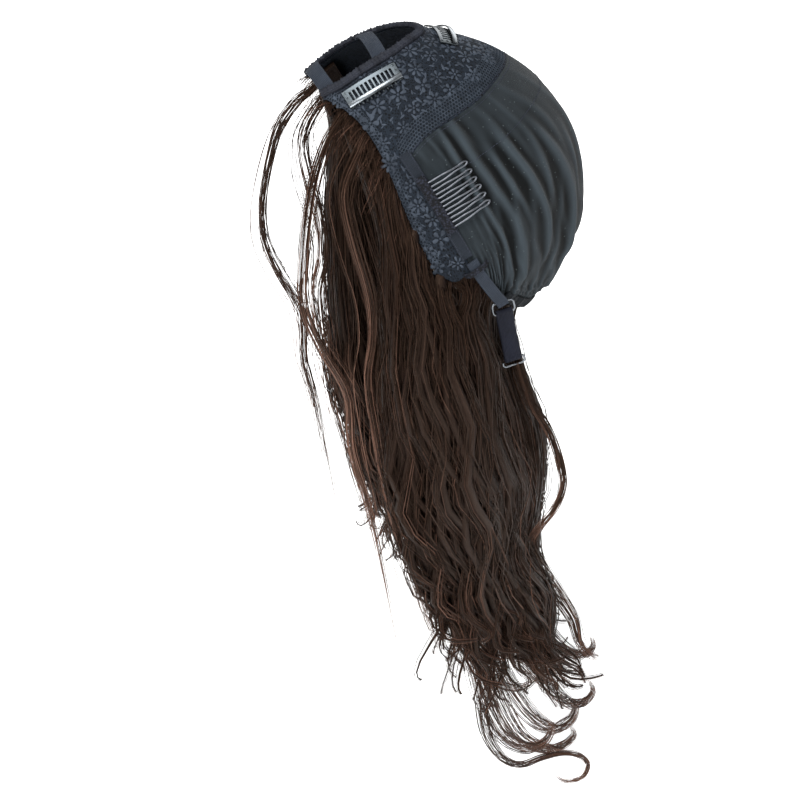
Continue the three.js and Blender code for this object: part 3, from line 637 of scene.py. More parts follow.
def tape_outline(width, low, high, crown=0.0):
    """Outline of a tape with rounded edges and a slightly raised middle."""
    half, round_off = width / 2, min(0.3, (high - low) / 2.5)
    top = [(x * (half - round_off), high + crown * (1 - x * x)) for x in (1, 0.6, 0.2, -0.2, -0.6, -1)]
    middle = (low + high) / 2
    return [(-half + round_off, low), (half - round_off, low), (half, middle), *top, (-half, middle)]


def smooth_path(points, count):
    """Evenly read smooth curve through points."""
    points = np.asarray(points, float)
    keys = lengths_along(points, 1e-6)
    at = np.linspace(0, keys[-1], count)
    return np.stack([smooth_value(keys, points[:, k], at) for k in range(3)], -1)


def wire_body(points, radius, sides=8):
    """Round wire along close points, with a frame carried along it."""
    points = np.asarray(points, float)
    ups, turn = [], np.array([0.31, 0.27, 0.91])
    for heading in headings(points):
        turn = unit(turn - (turn * heading).sum() * heading)
        ups.append(turn)
    return loft(points, ups, circle(sides, radius))


def cap_columns(shares):
    """Halves and shares across the whole cap, left front round to right front."""
    shares = np.asarray(shares, float)
    halves = np.concatenate([np.full(len(shares), LEFT), np.full(len(shares) - 1, RIGHT)])
    return halves, np.concatenate([shares, shares[:-1][::-1]])


def cloth_shell(outer, inner, present, cloth):
    """Closed shell over a grid of outer and inner points where present says there is cloth."""
    columns, rows = outer.shape[:2]
    index = np.arange(columns * rows).reshape(columns, rows)
    shift = columns * rows
    faces = []
    cells = np.argwhere(present)
    padded_cells = np.pad(present, 1)
    for i, j in cells.tolist():
        a, b, c, d = index[i, j], index[i + 1, j], index[i + 1, j + 1], index[i, j + 1]
        faces.append((a, d, c, b))
        faces.append((a + shift, b + shift, c + shift, d + shift))
        if not padded_cells[i + 1, j]:
            faces.append((a, b, b + shift, a + shift))
        if not padded_cells[i + 2, j + 1]:
            faces.append((b, c, c + shift, b + shift))
        if not padded_cells[i + 1, j + 2]:
            faces.append((c, d, d + shift, c + shift))
        if not padded_cells[i, j + 1]:
            faces.append((d, a, a + shift, d + shift))
    faces = np.array(faces)
    vertices = np.concatenate([outer.reshape(-1, 3), inner.reshape(-1, 3)])
    cloth = np.concatenate([cloth.reshape(-1, cloth.shape[-1])] * 2)
    used, faces = np.unique(faces, return_inverse=True)
    return vertices[used], faces.reshape(-1, 4), cloth[used]


# Cap cloth
STRIP_COLUMNS = 16
BACK_COLUMNS = 130
LACE_ROWS = 24
BACK_ROWS = 72
LACE_STRIP_ROWS = 40
# Columns to each side over which a fold's height is compared with its surroundings, for the painted light and
# shade on the folds
RIDGE_REACH = 5


def row_places(share, count):
    """Shares along spokes: the lace rows, then the rest."""
    split = lace_end(share)[:, None]
    lace = split * np.linspace(0, 1, LACE_ROWS + 1)
    rest = split + (1 - split) * np.linspace(0, 1, count + 1)[1:]
    return np.concatenate([lace, rest], 1)


# Creases of the back panel: where each crosses the middle of the cloth, how it runs, its size in millimetres
CREASES = [
    {"share": 0.36, "slant": 0.05, "bend": 0.0, "width": 0.013, "height": 1.4, "from": 0.72, "to": 0.98},
    {"share": 0.44, "slant": 0.1, "bend": 0.12, "width": 0.02, "height": 2.0, "from": 0.3, "to": 0.95},
    {"share": 0.53, "slant": 0.16, "bend": -0.2, "width": 0.028, "height": 3.4, "from": 0.24, "to": 0.92},
    {"share": 0.6, "slant": 0.05, "bend": 0.22, "width": 0.014, "height": 1.7, "from": 0.34, "to": 0.68},
    {"share": 0.67, "slant": 0.13, "bend": 0.1, "width": 0.019, "height": 2.5, "from": 0.27, "to": 0.78},
    {"share": 0.73, "slant": -0.09, "bend": 0.12, "width": 0.013, "height": 1.6, "from": 0.3, "to": 0.6},
    {"share": 0.8, "slant": 0.12, "bend": -0.12, "width": 0.021, "height": 2.6, "from": 0.28, "to": 0.86},
    {"share": 0.86, "slant": -0.12, "bend": 0.15, "width": 0.012, "height": 1.5, "from": 0.35, "to": 0.62},
    {"share": 0.93, "slant": 0.07, "bend": 0.1, "width": 0.017, "height": 2.0, "from": 0.3, "to": 0.74},
]


def crease_lift(half, share, t):
    """Single creases, each a soft ridge beside a shallow furrow, and two short ones along the nape."""
    lift = np.zeros(np.broadcast(share, t).shape)
    for crease in CREASES:
        line = crease["share"] + crease["slant"] * (t - 0.5) + crease["bend"] * (t - 0.5) ** 2
        line = line + 0.012 * np.sin(14 * t + 9 * crease["share"]) + np.where(half < 0, 0.025, 0)
        starts = smoothstep(t, crease["from"], crease["from"] + 0.14)
        shown = starts * (1 - smoothstep(t, crease["to"] - 0.16, crease["to"]))
        ridge_part = bump(share, line, crease["width"])
        furrow_part = 0.35 * bump(share, line + 1.9 * crease["width"], crease["width"])
        lift = lift + crease["height"] * shown * (ridge_part - furrow_part)
    upper = 1.1 * bump(t, 0.875 + 0.012 * np.sin(23 * share), 0.012)
    lower = 0.9 * bump(t, 0.915 + 0.01 * np.sin(31 * share), 0.01)
    return lift + (upper + lower) * smoothstep(share, 0.42, 0.55)


def fold_lift(half, share, t):
    """Soft folds of the stretch cloth: long slanting ones over the back, close gathers at the nape straps."""
    quiet = smoothstep(share, 0.3, 0.6)
    rise = smoothstep(t, 0.2, 0.75) * (1 - 0.75 * smoothstep(t, 0.8, 0.95))
    drift = 0.12 * np.sin(9 * t + 2 * half) + 0.08 * np.sin(17 * share) + 0.05 * np.sin(31 * share + 13 * t)
    main = 2.8 * ridge(4.2 * share + 1.1 * t, 1) * rise * (0.2 + 0.8 * quiet)
    slanting = 1.1 * ridge(7.3 * share - 1.9 * t + drift, 2.6) * smoothstep(t, 0.22, 0.5)
    slanting = slanting * (0.4 + 0.6 * quiet)
    wrinkles = 0.7 * ridge(10 * share - 3.6 * t + 1.8 * drift + 0.3, 4) * smoothstep(t, 0.12, 0.35)
    fine = 0.7 * ridge(15 * share + 2.6 * t + 2 * drift, 3) * smoothstep(t, 0.35, 0.6)
    fine = fine + crease_lift(half, share, t)
    near_strap = 0.35 + 0.65 * bump(share, 0.36, 0.13)
    gathers = 1.9 * ridge(30 * share + 1.4 * t + drift, 1.8) * smoothstep(t, 0.7, 0.93) * near_strap
    behind_seam = 0.15 + 0.85 * smoothstep(share, SIDE_SEAM, SIDE_SEAM + 0.06)
    small = (slanting + wrinkles + fine + gathers) * behind_seam
    beside_comb = (1 - smoothstep(share, 0.35, 0.43)) * smoothstep(t, 0.42, 0.52)
    under_comb = beside_comb * (1 - smoothstep(t, 0.86, 0.93))
    return (main + small) * (1 - 0.72 * under_comb)


def cloth_map(shares, t):
    return np.stack([np.broadcast_to(190 * shares[:, None], t.shape), t * spoke_length(shares)[:, None]], -1)


def lace_front_panel():
    strip = np.linspace(0, SIDE_SEAM, STRIP_COLUMNS + 1)
    back = np.linspace(SIDE_SEAM, 1, BACK_COLUMNS + 1)[1:]
    halves, shares = cap_columns(np.concatenate([strip, back]))
    t = row_places(shares, LACE_STRIP_ROWS)
    dirs = spoke(halves[:, None], shares[:, None], t)
    ripple = 0.25 * np.sin(37 * shares[:, None] * 3 + 11 * t) * bump(t, 1, 0.35)
    outer = lifted(dirs, np.maximum(ripple, 0) * 1.2)
    inner = lifted(dirs, -LACE_THICKNESS)
    column = np.arange(len(shares) - 1)
    from_front = np.minimum(column, column[::-1])
    present = (from_front[:, None] < STRIP_COLUMNS) | (np.arange(t.shape[1] - 1)[None] < LACE_ROWS)
    vertices, faces, cloth = cloth_shell(outer, inner, present, cloth_map(shares, t))
    piece = make_piece("lace_front_panel", vertices, faces, LACE_NET, cloth)
    settle(piece, "stretch_lace", "lace_panel")


def stretch_back_panel():
    halves, shares = cap_columns(np.linspace(SIDE_SEAM, 1, BACK_COLUMNS + 1))
    t = row_places(shares, BACK_ROWS)[:, LACE_ROWS:]
    dirs = spoke(halves[:, None], shares[:, None], t)
    for column in (0, -1):
        dirs[column] = beside_spoke(halves[column], shares[column], t[column], SEAM_GAP)
    fold = fold_lift(halves[:, None], shares[:, None], t)
    outer = lifted(dirs, fold)
    inner = lifted(dirs, fold - BACK_THICKNESS)
    present = np.ones((len(shares) - 1, t.shape[1] - 1), bool)
    near = range(-RIDGE_REACH, RIDGE_REACH + 1)
    around = sum(np.roll(fold, step, 0) for step in near) / len(near)
    # Painted light and shade: fold height above the folds around it, paler on ridges and darker in furrows
    painted_fold_light_and_shade = np.clip(0.36 + 0.3 * (fold - around), 0, 0.85)
    values = np.dstack([cloth_map(shares, t), painted_fold_light_and_shade])
    vertices, faces, values = cloth_shell(outer, inner, present, values)
    piece = make_piece("stretch_back_panel", vertices, faces, KNIT, values[:, :2], sharp=80)
    give_values(piece.data, "ridge", "FLOAT", values[:, 2])
    settle(piece, "stretch_cloth", "back_panel")


# Flowers and leaves worked into the lace
FLOWER_SPACING = 11
FLOWER_TRIES = 1500
LEAF_SPACING = 5.0
LEAF_TRIES = 4200
PETAL_LIFT = 0.3
PETAL_FOOT = -0.15
PETAL_SIDES = 10


def scattered_places(candidates, spacing, taken):
    """Places on the lace at least a spacing apart."""
    kept = []
    for place in candidates:
        others = taken + kept
        if all(np.linalg.norm(place - other) > spacing for other in others[-400:]):
            kept.append(place)
    return kept


def lace_candidates(rng, count):
    """Random places on the lace of the left half, clear of its edges: head points."""
    share = rng.uniform(0.0, 1.0, count)
    on_strip = share < SIDE_SEAM
    t = np.where(on_strip, rng.uniform(0.08, 0.96, count), rng.uniform(0.06, 0.8, count) * lace_end(share))
    share = np.where(on_strip, np.clip(share, 0.035, SIDE_SEAM - 0.04), share)
    return head_point(spoke(1, share, t))


def pillow(outline):
    """Flat outline as a low pillow of rim, raised ring, top and underside: 2-D points, lifts and faces."""
    count = len(outline)
    middle = outline.mean(0)
    ring = middle + 0.72 * (outline - middle)
    points = np.concatenate([outline, ring, [middle], [middle]])
    rise = [PETAL_LIFT * 0.85, PETAL_FOOT]
    lifts = np.concatenate([np.full(count, PETAL_FOOT), np.full(count, PETAL_LIFT), rise])
    faces = []
    for k in range(count):
        n = (k + 1) % count
        faces += [(k, n, count + n, count + k), (count + k, count + n, 2 * count), (n, k, 2 * count + 1)]
    return points, lifts, faces


def petal(length, width, turn, start):
    """Pointed oval from a start distance along a turned axis."""
    a = 2 * np.pi * np.arange(PETAL_SIDES) / PETAL_SIDES
    along = start + length / 2 * (1 - np.cos(a))
    across = width / 2 * np.sin(a) * (0.75 + 0.35 * np.cos(a - np.pi))
    x = along * np.cos(turn) - across * np.sin(turn)
    y = along * np.sin(turn) + across * np.cos(turn)
    return np.stack([x, y], -1)


def flower_outlines(rng):
    petals = int(rng.integers(5, 8))
    size, start_turn = rng.uniform(3.4, 5.4), rng.uniform(0, 6.28)
    turns = start_turn + 2 * np.pi * np.arange(petals) / petals
    width = 22 / petals * size / 5.4
    outlines = [petal(size * rng.uniform(0.85, 1.1), width, turn, 1.1) for turn in turns]
    return [*outlines, circle(8, 0.9)]


def leaf_outlines(rng):
    turn = rng.uniform(0, 6.28)
    length = rng.uniform(3.2, 6.0)
    side_leaf = petal(length * 0.7, length * 0.3, turn + 0.9, 0.4)
    return [petal(length, length * 0.42, turn, -length / 2), side_leaf]


def lace_flower_piece():
    rng = np.random.default_rng(11)
    flowers = scattered_places(lace_candidates(rng, FLOWER_TRIES), FLOWER_SPACING, [])
    leaves = scattered_places(lace_candidates(rng, LEAF_TRIES), LEAF_SPACING, flowers)
    flat_points, lifts, faces, base = [], [], [], 0
    for half in (LEFT, RIGHT):
        for places, outlines_of in ((flowers, flower_outlines), (leaves, leaf_outlines)):
            for place in places:
                centre = place * np.array([half, 1, 1])
                normal = head_normal(direction_to(centre[None]))[0]
                x_axis = unit(np.cross(normal, [0.3, 0.9, 0.2]))
                y_axis = np.cross(normal, x_axis)
                for outline in outlines_of(rng):
                    points, rise, petal_faces = pillow(outline)
                    flat_points.append(centre + points[:, :1] * x_axis + points[:, 1:] * y_axis)
                    lifts.append(rise)
                    faces += [[base + corner for corner in face] for face in petal_faces]
                    base += len(points)
    vertices = lifted(direction_to(np.concatenate(flat_points)), np.concatenate(lifts))
    piece = make_piece("lace_flowers", vertices, faces, LACE_FLOWERS, sharp=70)
    settle(piece, "stretch_lace")


# Geometry Nodes: stitches along lines and net rings on points
def new_tree(name, inputs):
    tree = bpy.data.node_groups.new(name, "GeometryNodeTree")
    tree.interface.new_socket("Geometry", in_out="INPUT", socket_type="NodeSocketGeometry")
    for socket_name, kind in inputs:
        tree.interface.new_socket(socket_name, in_out="INPUT", socket_type=kind)
    tree.interface.new_socket("Geometry", in_out="OUTPUT", socket_type="NodeSocketGeometry")
    return tree


def stand_on_points(tree, points, instance, facing, material):
    """Ends a tree: an instance on each point, its Z axis along the facing direction, as real mesh."""
    turn = add_node(tree, "FunctionNodeAlignRotationToVector", {"axis": "Z"}, {"Vector": facing})
    links = {"Points": points, "Instance": instance, "Rotation": turn.outputs[0]}
    placed = add_node(tree, "GeometryNodeInstanceOnPoints", links=links)
    real = add_node(tree, "GeometryNodeRealizeInstances", links={"Geometry": placed.outputs[0]})
    links = {"Geometry": real.outputs[0], "Material": material}
    finished = add_node(tree, "GeometryNodeSetMaterial", links=links)
    add_node(tree, "NodeGroupOutput", links={0: finished.outputs[0]})
    return tree


def stitch_tree():
    """Stitches laid end to end along curves."""
    sizes = [(name, "NodeSocketFloat") for name in ("Spacing", "Stitch Length", "Thread Radius")]
    tree = new_tree("stitches_along_seam", [*sizes, ("Material", "NodeSocketMaterial")])
    given = add_node(tree, "NodeGroupInput").outputs
    links = {"Curve": given["Geometry"], "Length": given["Spacing"]}
    dots = add_node(tree, "GeometryNodeResampleCurve", {"mode": "LENGTH"}, links)
    links = {"Radius": given["Thread Radius"], "Depth": given["Stitch Length"]}
    stitch = add_node(tree, "GeometryNodeMeshCylinder", {"Vertices": 5}, links)
    tangent = add_node(tree, "GeometryNodeInputTangent").outputs[0]
    return stand_on_points(tree, dots.outputs[0], stitch.outputs["Mesh"], tangent, given["Material"])


def net_tree():
    """Six-sided corded rings standing on points that carry a facing direction."""
    sizes = [(name, "NodeSocketFloat") for name in ("Ring Radius", "Cord Radius")]
    tree = new_tree("honeycomb_net", [*sizes, ("Material", "NodeSocketMaterial")])
    given = add_node(tree, "NodeGroupInput").outputs
    kind = "GeometryNodeCurvePrimitiveCircle"
    hexagon = add_node(tree, kind, {"Resolution": 6}, {"Radius": given["Ring Radius"]})
    section = add_node(tree, kind, {"Resolution": 4}, {"Radius": given["Cord Radius"]})
    links = {"Curve": hexagon.outputs["Curve"], "Profile Curve": section.outputs["Curve"]}
    ring = add_node(tree, "GeometryNodeCurveToMesh", links=links)
    named = {"data_type": "FLOAT_VECTOR", "Name": "facing"}
    facing = add_node(tree, "GeometryNodeInputNamedAttribute", named)
    return stand_on_points(tree, given["Geometry"], ring.outputs[0], facing.outputs[0], given["Material"])


def made_by_tree(source, tree, values, name):
    """The tree's result on a source object as a plain mesh piece."""
    modifier = source.modifiers.new(name, "NODES")
    modifier.node_group = tree
    for item in tree.interface.items_tree:
        if item.in_out == "INPUT" and item.name in values:
            modifier[item.identifier] = values[item.name]
    bpy.context.view_layer.update()
    evaluated = source.evaluated_get(bpy.context.evaluated_depsgraph_get())
    mesh = bpy.data.meshes.new_from_object(evaluated)
    mesh.name = name
    piece = add_object(name, mesh)
    source.modifiers.clear()
    bpy.data.objects.remove(source)
    return piece


def line_object(name, lines):
    """Curve object with one poly line for each list of head points."""
    curve = bpy.data.curves.new(name, "CURVE")
    curve.dimensions = "3D"
    for line in lines:
        places = in_row(line)
        spline = curve.splines.new("POLY")
        spline.points.add(len(places) - 1)
        spline.points.foreach_set("co", np.concatenate([places, np.ones((len(places), 1))], 1).ravel())
    return add_object(name, curve)


def surface_line(dirs, lift, zigzag=0.0, pitch=1.6):
    """Line on the head form along directions; a zigzag swings to both sides."""
    places = lifted(dirs, np.broadcast_to(lift, dirs.shape[:-1]))
    if not zigzag:
        return places
    keys = lengths_along(places)
    at = np.arange(0, keys[-1], pitch)
    line = np.stack([np.interp(at, keys, places[:, k]) for k in range(3)], -1)
    swing = np.where(np.arange(len(at)) % 2, 1, -1)[:, None] * zigzag
    side = unit(np.cross(head_normal(direction_to(line)), np.gradient(line, axis=0)))
    return line + side * swing


def seam_line(half, t_from, t_to, behind, count=50):
    return beside_spoke(half, SIDE_SEAM, np.linspace(t_from, t_to, count), behind)


# Stitched seam across the stretch cloth, behind the lace
BACK_SEAM_SHARES = np.linspace(0.36, 1, 90)
BACK_SEAM_BEHIND = 24
TAPE_TOP = TAPE_LIFT + TAPE_THICKNESS + 0.02
SLEEVE_TOP = 2 * GAP + TAPE_THICKNESS + 0.5 + SLEEVE_THICKNESS - 0.12


def stitch_lines(half):
    """Every stitched line on one side: lace join, back seam, tapes, comb sleeves and opening."""
    shares = np.linspace(SIDE_SEAM, 1, 90)
    join = lace_end(shares)
    lines = [surface_line(spoke(half, shares, join - 1.2 / spoke_length(shares)), 0.12, 0.7)]
    for at, behind, lift in ((shares, 1.9, 0.1), (BACK_SEAM_SHARES, BACK_SEAM_BEHIND, 0.14)):
        t = lace_end(at) + behind / spoke_length(at)
        lines.append(lifted(spoke(half, at, t), fold_lift(half, at, t) + lift))
    for offset in (1 - TAPE_WIDTH / 2 + 0.9, 1 + TAPE_WIDTH / 2 - 0.9):
        lines.append(surface_line(seam_line(half, 0.455, 0.925, offset), TAPE_TOP))
    for offset in (SLEEVE_BEHIND - 2.1, SLEEVE_BEHIND + 2.1):
        lines.append(surface_line(seam_line(half, SLEEVE_FROM, SLEEVE_TO, offset), SLEEVE_TOP))
    opening = np.linspace(0.01, 1, 110)
    lines.append(surface_line(in_opening(half, opening, -1.3), 0.14))
    lines.append(surface_line(in_opening(half, opening, 1.3), BINDING_HEIGHT + 0.1))
    return lines


def stitch_piece():
    source = line_object("stitch_lines", stitch_lines(LEFT) + stitch_lines(RIGHT))
    values = {"Spacing": 2.3 * MM, "Stitch Length": 1.6 * MM, "Thread Radius": 0.2 * MM}
    values["Material"] = SEWING_THREAD
    settle(made_by_tree(source, stitch_tree(), values, "seam_stitches"), "stretch_lace")


NET_PITCH = 2.15
NET_ROW_STEP = NET_PITCH * 0.87
NET_ROWS = 6
NET_FRONT_ROWS = 3


def spaced_shares(lines_at, shares, pitch):
    """Shares re-read at even distances along a line on the surface."""
    keys = lengths_along(lines_at(shares))
    return np.interp(np.arange(0.3, keys[-1], pitch), keys, shares)


def honeycomb_net_piece():
    """The open net along the lace's rear edge and along its front edge."""
    rows = []
    fine = np.linspace(SIDE_SEAM, 1, 400)
    for half in (LEFT, RIGHT):
        for row in range(NET_ROWS):
            back_off = 2.6 + row * NET_ROW_STEP
            at = lambda share: spoke(half, share, lace_end(share) - back_off / spoke_length(share))
            shares = spaced_shares(lambda share: head_point(at(share)), fine, NET_PITCH)
            shares = shares + (0.5 * (row % 2)) * np.gradient(shares)
            rows.append(at(np.minimum(shares, 1)))
        for row in range(NET_FRONT_ROWS):
            t = np.arange(0.02 + 0.006 * (row % 2), 0.985, NET_PITCH / 128)
            rows.append(beside_spoke(half, 0, t, 1.4 + row * NET_ROW_STEP))
    dirs = np.concatenate(rows)
    mesh = bpy.data.meshes.new("net_points")
    mesh.from_pydata(in_row(lifted(dirs, np.full(len(dirs), 0.16))).tolist(), [], [])
    give_values(mesh, "facing", "FLOAT_VECTOR", head_normal(dirs))
    source = add_object("net_points", mesh)
    values = {"Ring Radius": 1.16 * MM, "Cord Radius": 0.21 * MM, "Material": NET_CORD}
    settle(made_by_tree(source, net_tree(), values, "honeycomb_net"), "stretch_lace")


# Binding, straps and tapes
def ruffled_binding():
    halves, shares = cap_columns(np.linspace(0.005, 1, 150))
    dirs = in_opening(halves, shares, GAP + BINDING_WIDTH / 2)
    points, ups = head_point(dirs), head_normal(dirs)
    rng = np.random.default_rng(5)
    step = np.arange(len(points))
    wave = np.sin(step * 1.75) + 0.6 * np.sin(step * 0.83 + 1) + 0.5 * rng.normal(0, 1, len(points))
    half = BINDING_WIDTH / 2 + GAP + 0.1
    outlines = []
    for ruffle in wave:
        high = BINDING_HEIGHT + 0.32 * ruffle
        frill = half + 0.35 * max(ruffle, -0.5)
        upper_side = [0.55 * half, 0.1 * half, -0.35 * half, -0.8 * half, -half - 0.05]
        across = [-half, half, frill, frill + 0.1] + upper_side
        up = [-0.4, -0.4] + [share * high for share in (0.35, 0.7, 1, 0.8, 0.95, 0.85, 0.45)]
        outlines.append(list(zip(across, up)))
    vertices, faces, cloth = loft(points, ups, outlines)
    piece = make_piece("ruffled_binding", vertices, faces, RUFFLE, cloth, sharp=85)
    settle(piece, "ruffled_binding", "opening_binding")


def opening_strap(name, node, angle, end_side, slack):
    sides = np.linspace(-end_side, end_side, 48)
    dirs = direction(angle, sides)
    points = lifted(dirs, -slack * np.cos(np.pi * sides / (2 * end_side)) ** 2)
    outline = tape_outline(STRAP_WIDTH, -0.5 - STRAP_THICKNESS, -0.5, 0.12)
    vertices, faces, cloth = loft(points, head_normal(dirs), outline)
    settle(make_piece(name, vertices, faces, ELASTIC, cloth), "elastic", node)


def side_tapes():
    for half, side in SIDES:
        dirs = seam_line(half, 0.45, 0.93, 1.0, 60)
        outline = np.array(tape_outline(TAPE_WIDTH, TAPE_LIFT, TAPE_LIFT + TAPE_THICKNESS, 0.1))
        pinch = 1 + 0.02 * np.sin(np.arange(60) * 0.9)[:, None, None] * np.array([1, 0])
        vertices, faces, cloth = loft(head_point(dirs), head_normal(dirs), outline * pinch)
        piece = make_piece(f"seam_tape_{side}", vertices, faces, TAPE, cloth)
        settle(piece, "seam_tape", f"side_tape_{side}")


def comb_sleeves():
    """Lace-covered band over the comb's spine, with round ends and a puckered face."""
    low = 2 * GAP + TAPE_THICKNESS + 0.5
    share = np.linspace(-1, 1, SLEEVE_STEPS)
    narrow = np.sqrt(np.clip(1 - np.clip((np.abs(share) - 0.86) / 0.16, 0, 1) ** 2, 0.06, 1))
    pucker = 1 + 0.06 * np.sin(np.arange(SLEEVE_STEPS) * 1.9)
    outline = np.array(tape_outline(SLEEVE_WIDTH, low, low + SLEEVE_THICKNESS, 0.25))
    outlines = outline[None] * np.stack([narrow * pucker, np.ones(SLEEVE_STEPS)], -1)[:, None]
    outlines[..., 1] = low + (outlines[..., 1] - low) * (0.55 + 0.45 * narrow)[:, None] * pucker[:, None]
    for half, side in SIDES:
        dirs = seam_line(half, SLEEVE_FROM, SLEEVE_TO, SLEEVE_BEHIND, SLEEVE_STEPS)
        vertices, faces, cloth = loft(head_point(dirs), head_normal(dirs), outlines)
        piece = make_piece(f"comb_band_{side}", vertices, faces, SLEEVE, cloth)
        settle(piece, "lace_sleeve", f"comb_sleeve_{side}")


def side_band(path, count, outline, half):
    points = smooth_path(path, count) * np.array([half, 1, 1])
    return loft(points, np.tile([half, 0, 0], (count, 1)), outline)


NAPE_STRAP_PATH = [
    (85, 0.5, -33), (85.3, 6.1, -42.5), (85.2, 12.1, -51.5),
    (84.1, 17.9, -59.5), (82.6, 21.9, -64.5), (82.4, 23.3, -67.1),
]
KEEPER_PATH = [
    (83.5, -3.2, -43.3), (86.6, -0.6, -41.7), (86.8, 4, -38.8), (86.6, 8.6, -35.9), (83.7, 11.2, -34.3),
]
HANG_TOP = np.array([80.5, 23, -65.5])
HANG_DOWN = unit(np.array([0.01, 0.2, -0.98]))
HANG_OUT = np.array([1, 0, 0.01])
HANG_ACROSS = unit(np.cross(HANG_DOWN, HANG_OUT))
TAIL_LENGTH = 35
TAIL_WIDTH = 11
SLIDER_HEIGHT = 8
SLIDER_WIRE = 0.75
HOOK_WIRE = 0.7


def hang_points(places, half):
    """Places (across, down, out) in the frame that hangs from the slider."""
    places = np.asarray(places, float)
    points = HANG_TOP + places[:, :1] * HANG_ACROSS + places[:, 1:2] * HANG_DOWN + places[:, 2:] * HANG_OUT
    return points * np.array([half, 1, 1])


def nape_straps():
    for half, side in SIDES:
        strap = side_band(NAPE_STRAP_PATH, 40, tape_outline(NAPE_STRAP_WIDTH, -0.6, 0.6, 0.1), half)
        piece = make_piece(f"nape_elastic_{side}", *strap[:2], ELASTIC, strap[2])
        settle(piece, "elastic", f"nape_strap_{side}")
        keeper = side_band(KEEPER_PATH, 28, tape_outline(4, -0.45, 0.45, 0.1), half)
        piece = make_piece(f"lace_keeper_{side}", *keeper[:2], SLEEVE, keeper[2])
        settle(piece, "seam_tape", f"strap_keeper_{side}")


def slider_ring(half, side):
    """Ring of wire with cut-off corners that the strap slides through."""
    wide, low, cut = TAIL_WIDTH / 2 + 1.6, SLIDER_HEIGHT, 1.4
    upper = [(-wide, cut), (-wide + cut, 0), (wide - cut, 0), (wide, cut)]
    lower = [(wide, low - cut), (wide - cut, low), (cut - wide, low), (-wide, low - cut)]
    corners = [(across, down, 0) for across, down in [*upper, *lower, upper[0]]]
    points = smooth_path(hang_points(corners, half), 73)[:-1]
    ring = loft(points, np.tile(HANG_OUT * [half, 1, 1], (72, 1)), circle(10, SLIDER_WIRE), loop=True)
    piece = make_piece(f"slider_ring_{side}", *ring[:2], BRIGHT_WIRE)
    settle(piece, "slider_metal", f"slider_{side}")


def doubled_strap(half, side):
    """Dark strap that hangs from the ring as a flat loop."""
    top, bottom, reach = SLIDER_HEIGHT - 1.9, SLIDER_HEIGHT + TAIL_LENGTH, 1.75
    middle = (top + bottom) / 2
    outer = [(top + 0.6, 0.9), (top + 4, 0.75), (middle, 0.7), (bottom - 3, 0.75), (bottom - 0.6, 0.9)]
    inner = [(down, -out) for down, out in outer[::-1]]
    tail_loop = [*outer, (bottom + 0.6, 0), *inner, (top - 0.6, 0), outer[0]]
    points = hang_points([(0, down, out * reach) for down, out in tail_loop], half)
    points = smooth_path(points, 97)[:-1]
    along = np.roll(points, -1, 0) - np.roll(points, 1, 0)
    ups = unit(np.cross(along, HANG_ACROSS * np.array([half, 1, 1]))) * half
    tail = loft(points, ups, tape_outline(TAIL_WIDTH, -0.35, 0.35, 0.05), loop=True)
    piece = make_piece(f"doubled_strap_{side}", *tail[:2], DARK_STRAP, tail[2])
    settle(piece, "dark_strap", f"strap_tail_{side}")


def wire_hook(half, side):
    """Open wire hook at the strap's end."""
    top, wide = SLIDER_HEIGHT + TAIL_LENGTH - 1.1, TAIL_WIDTH / 2 + 1.8
    through = [(wide - 2.4, top), (0, top), (-wide + 0.8, top), (-wide, top + 0.9), (-wide, top + 3.6)]
    foot = top + 4.8
    below = [(-wide + 1.2, foot), (0, foot), (wide - 1.2, foot), (wide, top + 3.6), (wide, top + 1.6)]
    places = [(across, down, 0) for across, down in through + below]
    hook = wire_body(smooth_path(hang_points(places, half), 80), HOOK_WIRE, 10)
    piece = make_piece(f"wire_hook_{side}", *hook[:2], BRIGHT_WIRE)
    settle(piece, "hook_wire", f"end_hook_{side}")


def hanging_ends():
    """Slider ring, doubled dark strap and open wire hook on each side."""
    for half, side in SIDES:
        slider_ring(half, side)
        doubled_strap(half, side)
        wire_hook(half, side)


def gathered_nape_band():
    halves, shares = cap_columns(np.linspace(0.47, 1, 150))
    t = 1 - 4.5 / spoke_length(shares)
    dirs = spoke(halves, shares, t)
    step = np.arange(len(shares))
    gather = 0.35 * np.sin(step * 1.25) + 0.25 * np.sin(step * 0.61 + 0.7) + 0.15 * np.sin(step * 2.3)
    outline = np.array(tape_outline(8, 1.5, 2.7, 0.2))
    outlines = np.repeat(outline[None], len(shares), 0)
    outlines[..., 1] += 0.3 + gather[:, None] * (outlines[..., 1] > 1.6)
    outlines[..., 0] *= (1 + 0.05 * np.sin(step * 0.9))[:, None]
    vertices, faces, cloth = loft(head_point(dirs), head_normal(dirs), outlines)
    piece = make_piece("gathered_nape_band", vertices, faces, NAPE_CLOTH, cloth, sharp=85)
    settle(piece, "nape_cloth", "nape_band")


# Wire combs
COMB_WIDTH = 34
COMB_TEETH = 6
COMB_RADIUS = 0.6
COMB_LIFT = 3.6
TOOTH_OUTLINE = [
    {"across": 0.3, "up": -2.6, "lift": COMB_LIFT - 0.6},
    {"across": 0.27, "up": 8, "lift": COMB_LIFT + 0.2},
    {"across": 0.16, "up": 18, "lift": COMB_LIFT},
    {"across": 0.22, "up": 24, "lift": COMB_LIFT - 0.4},
    {"across": 0, "up": 26, "lift": COMB_LIFT - 0.4},
]


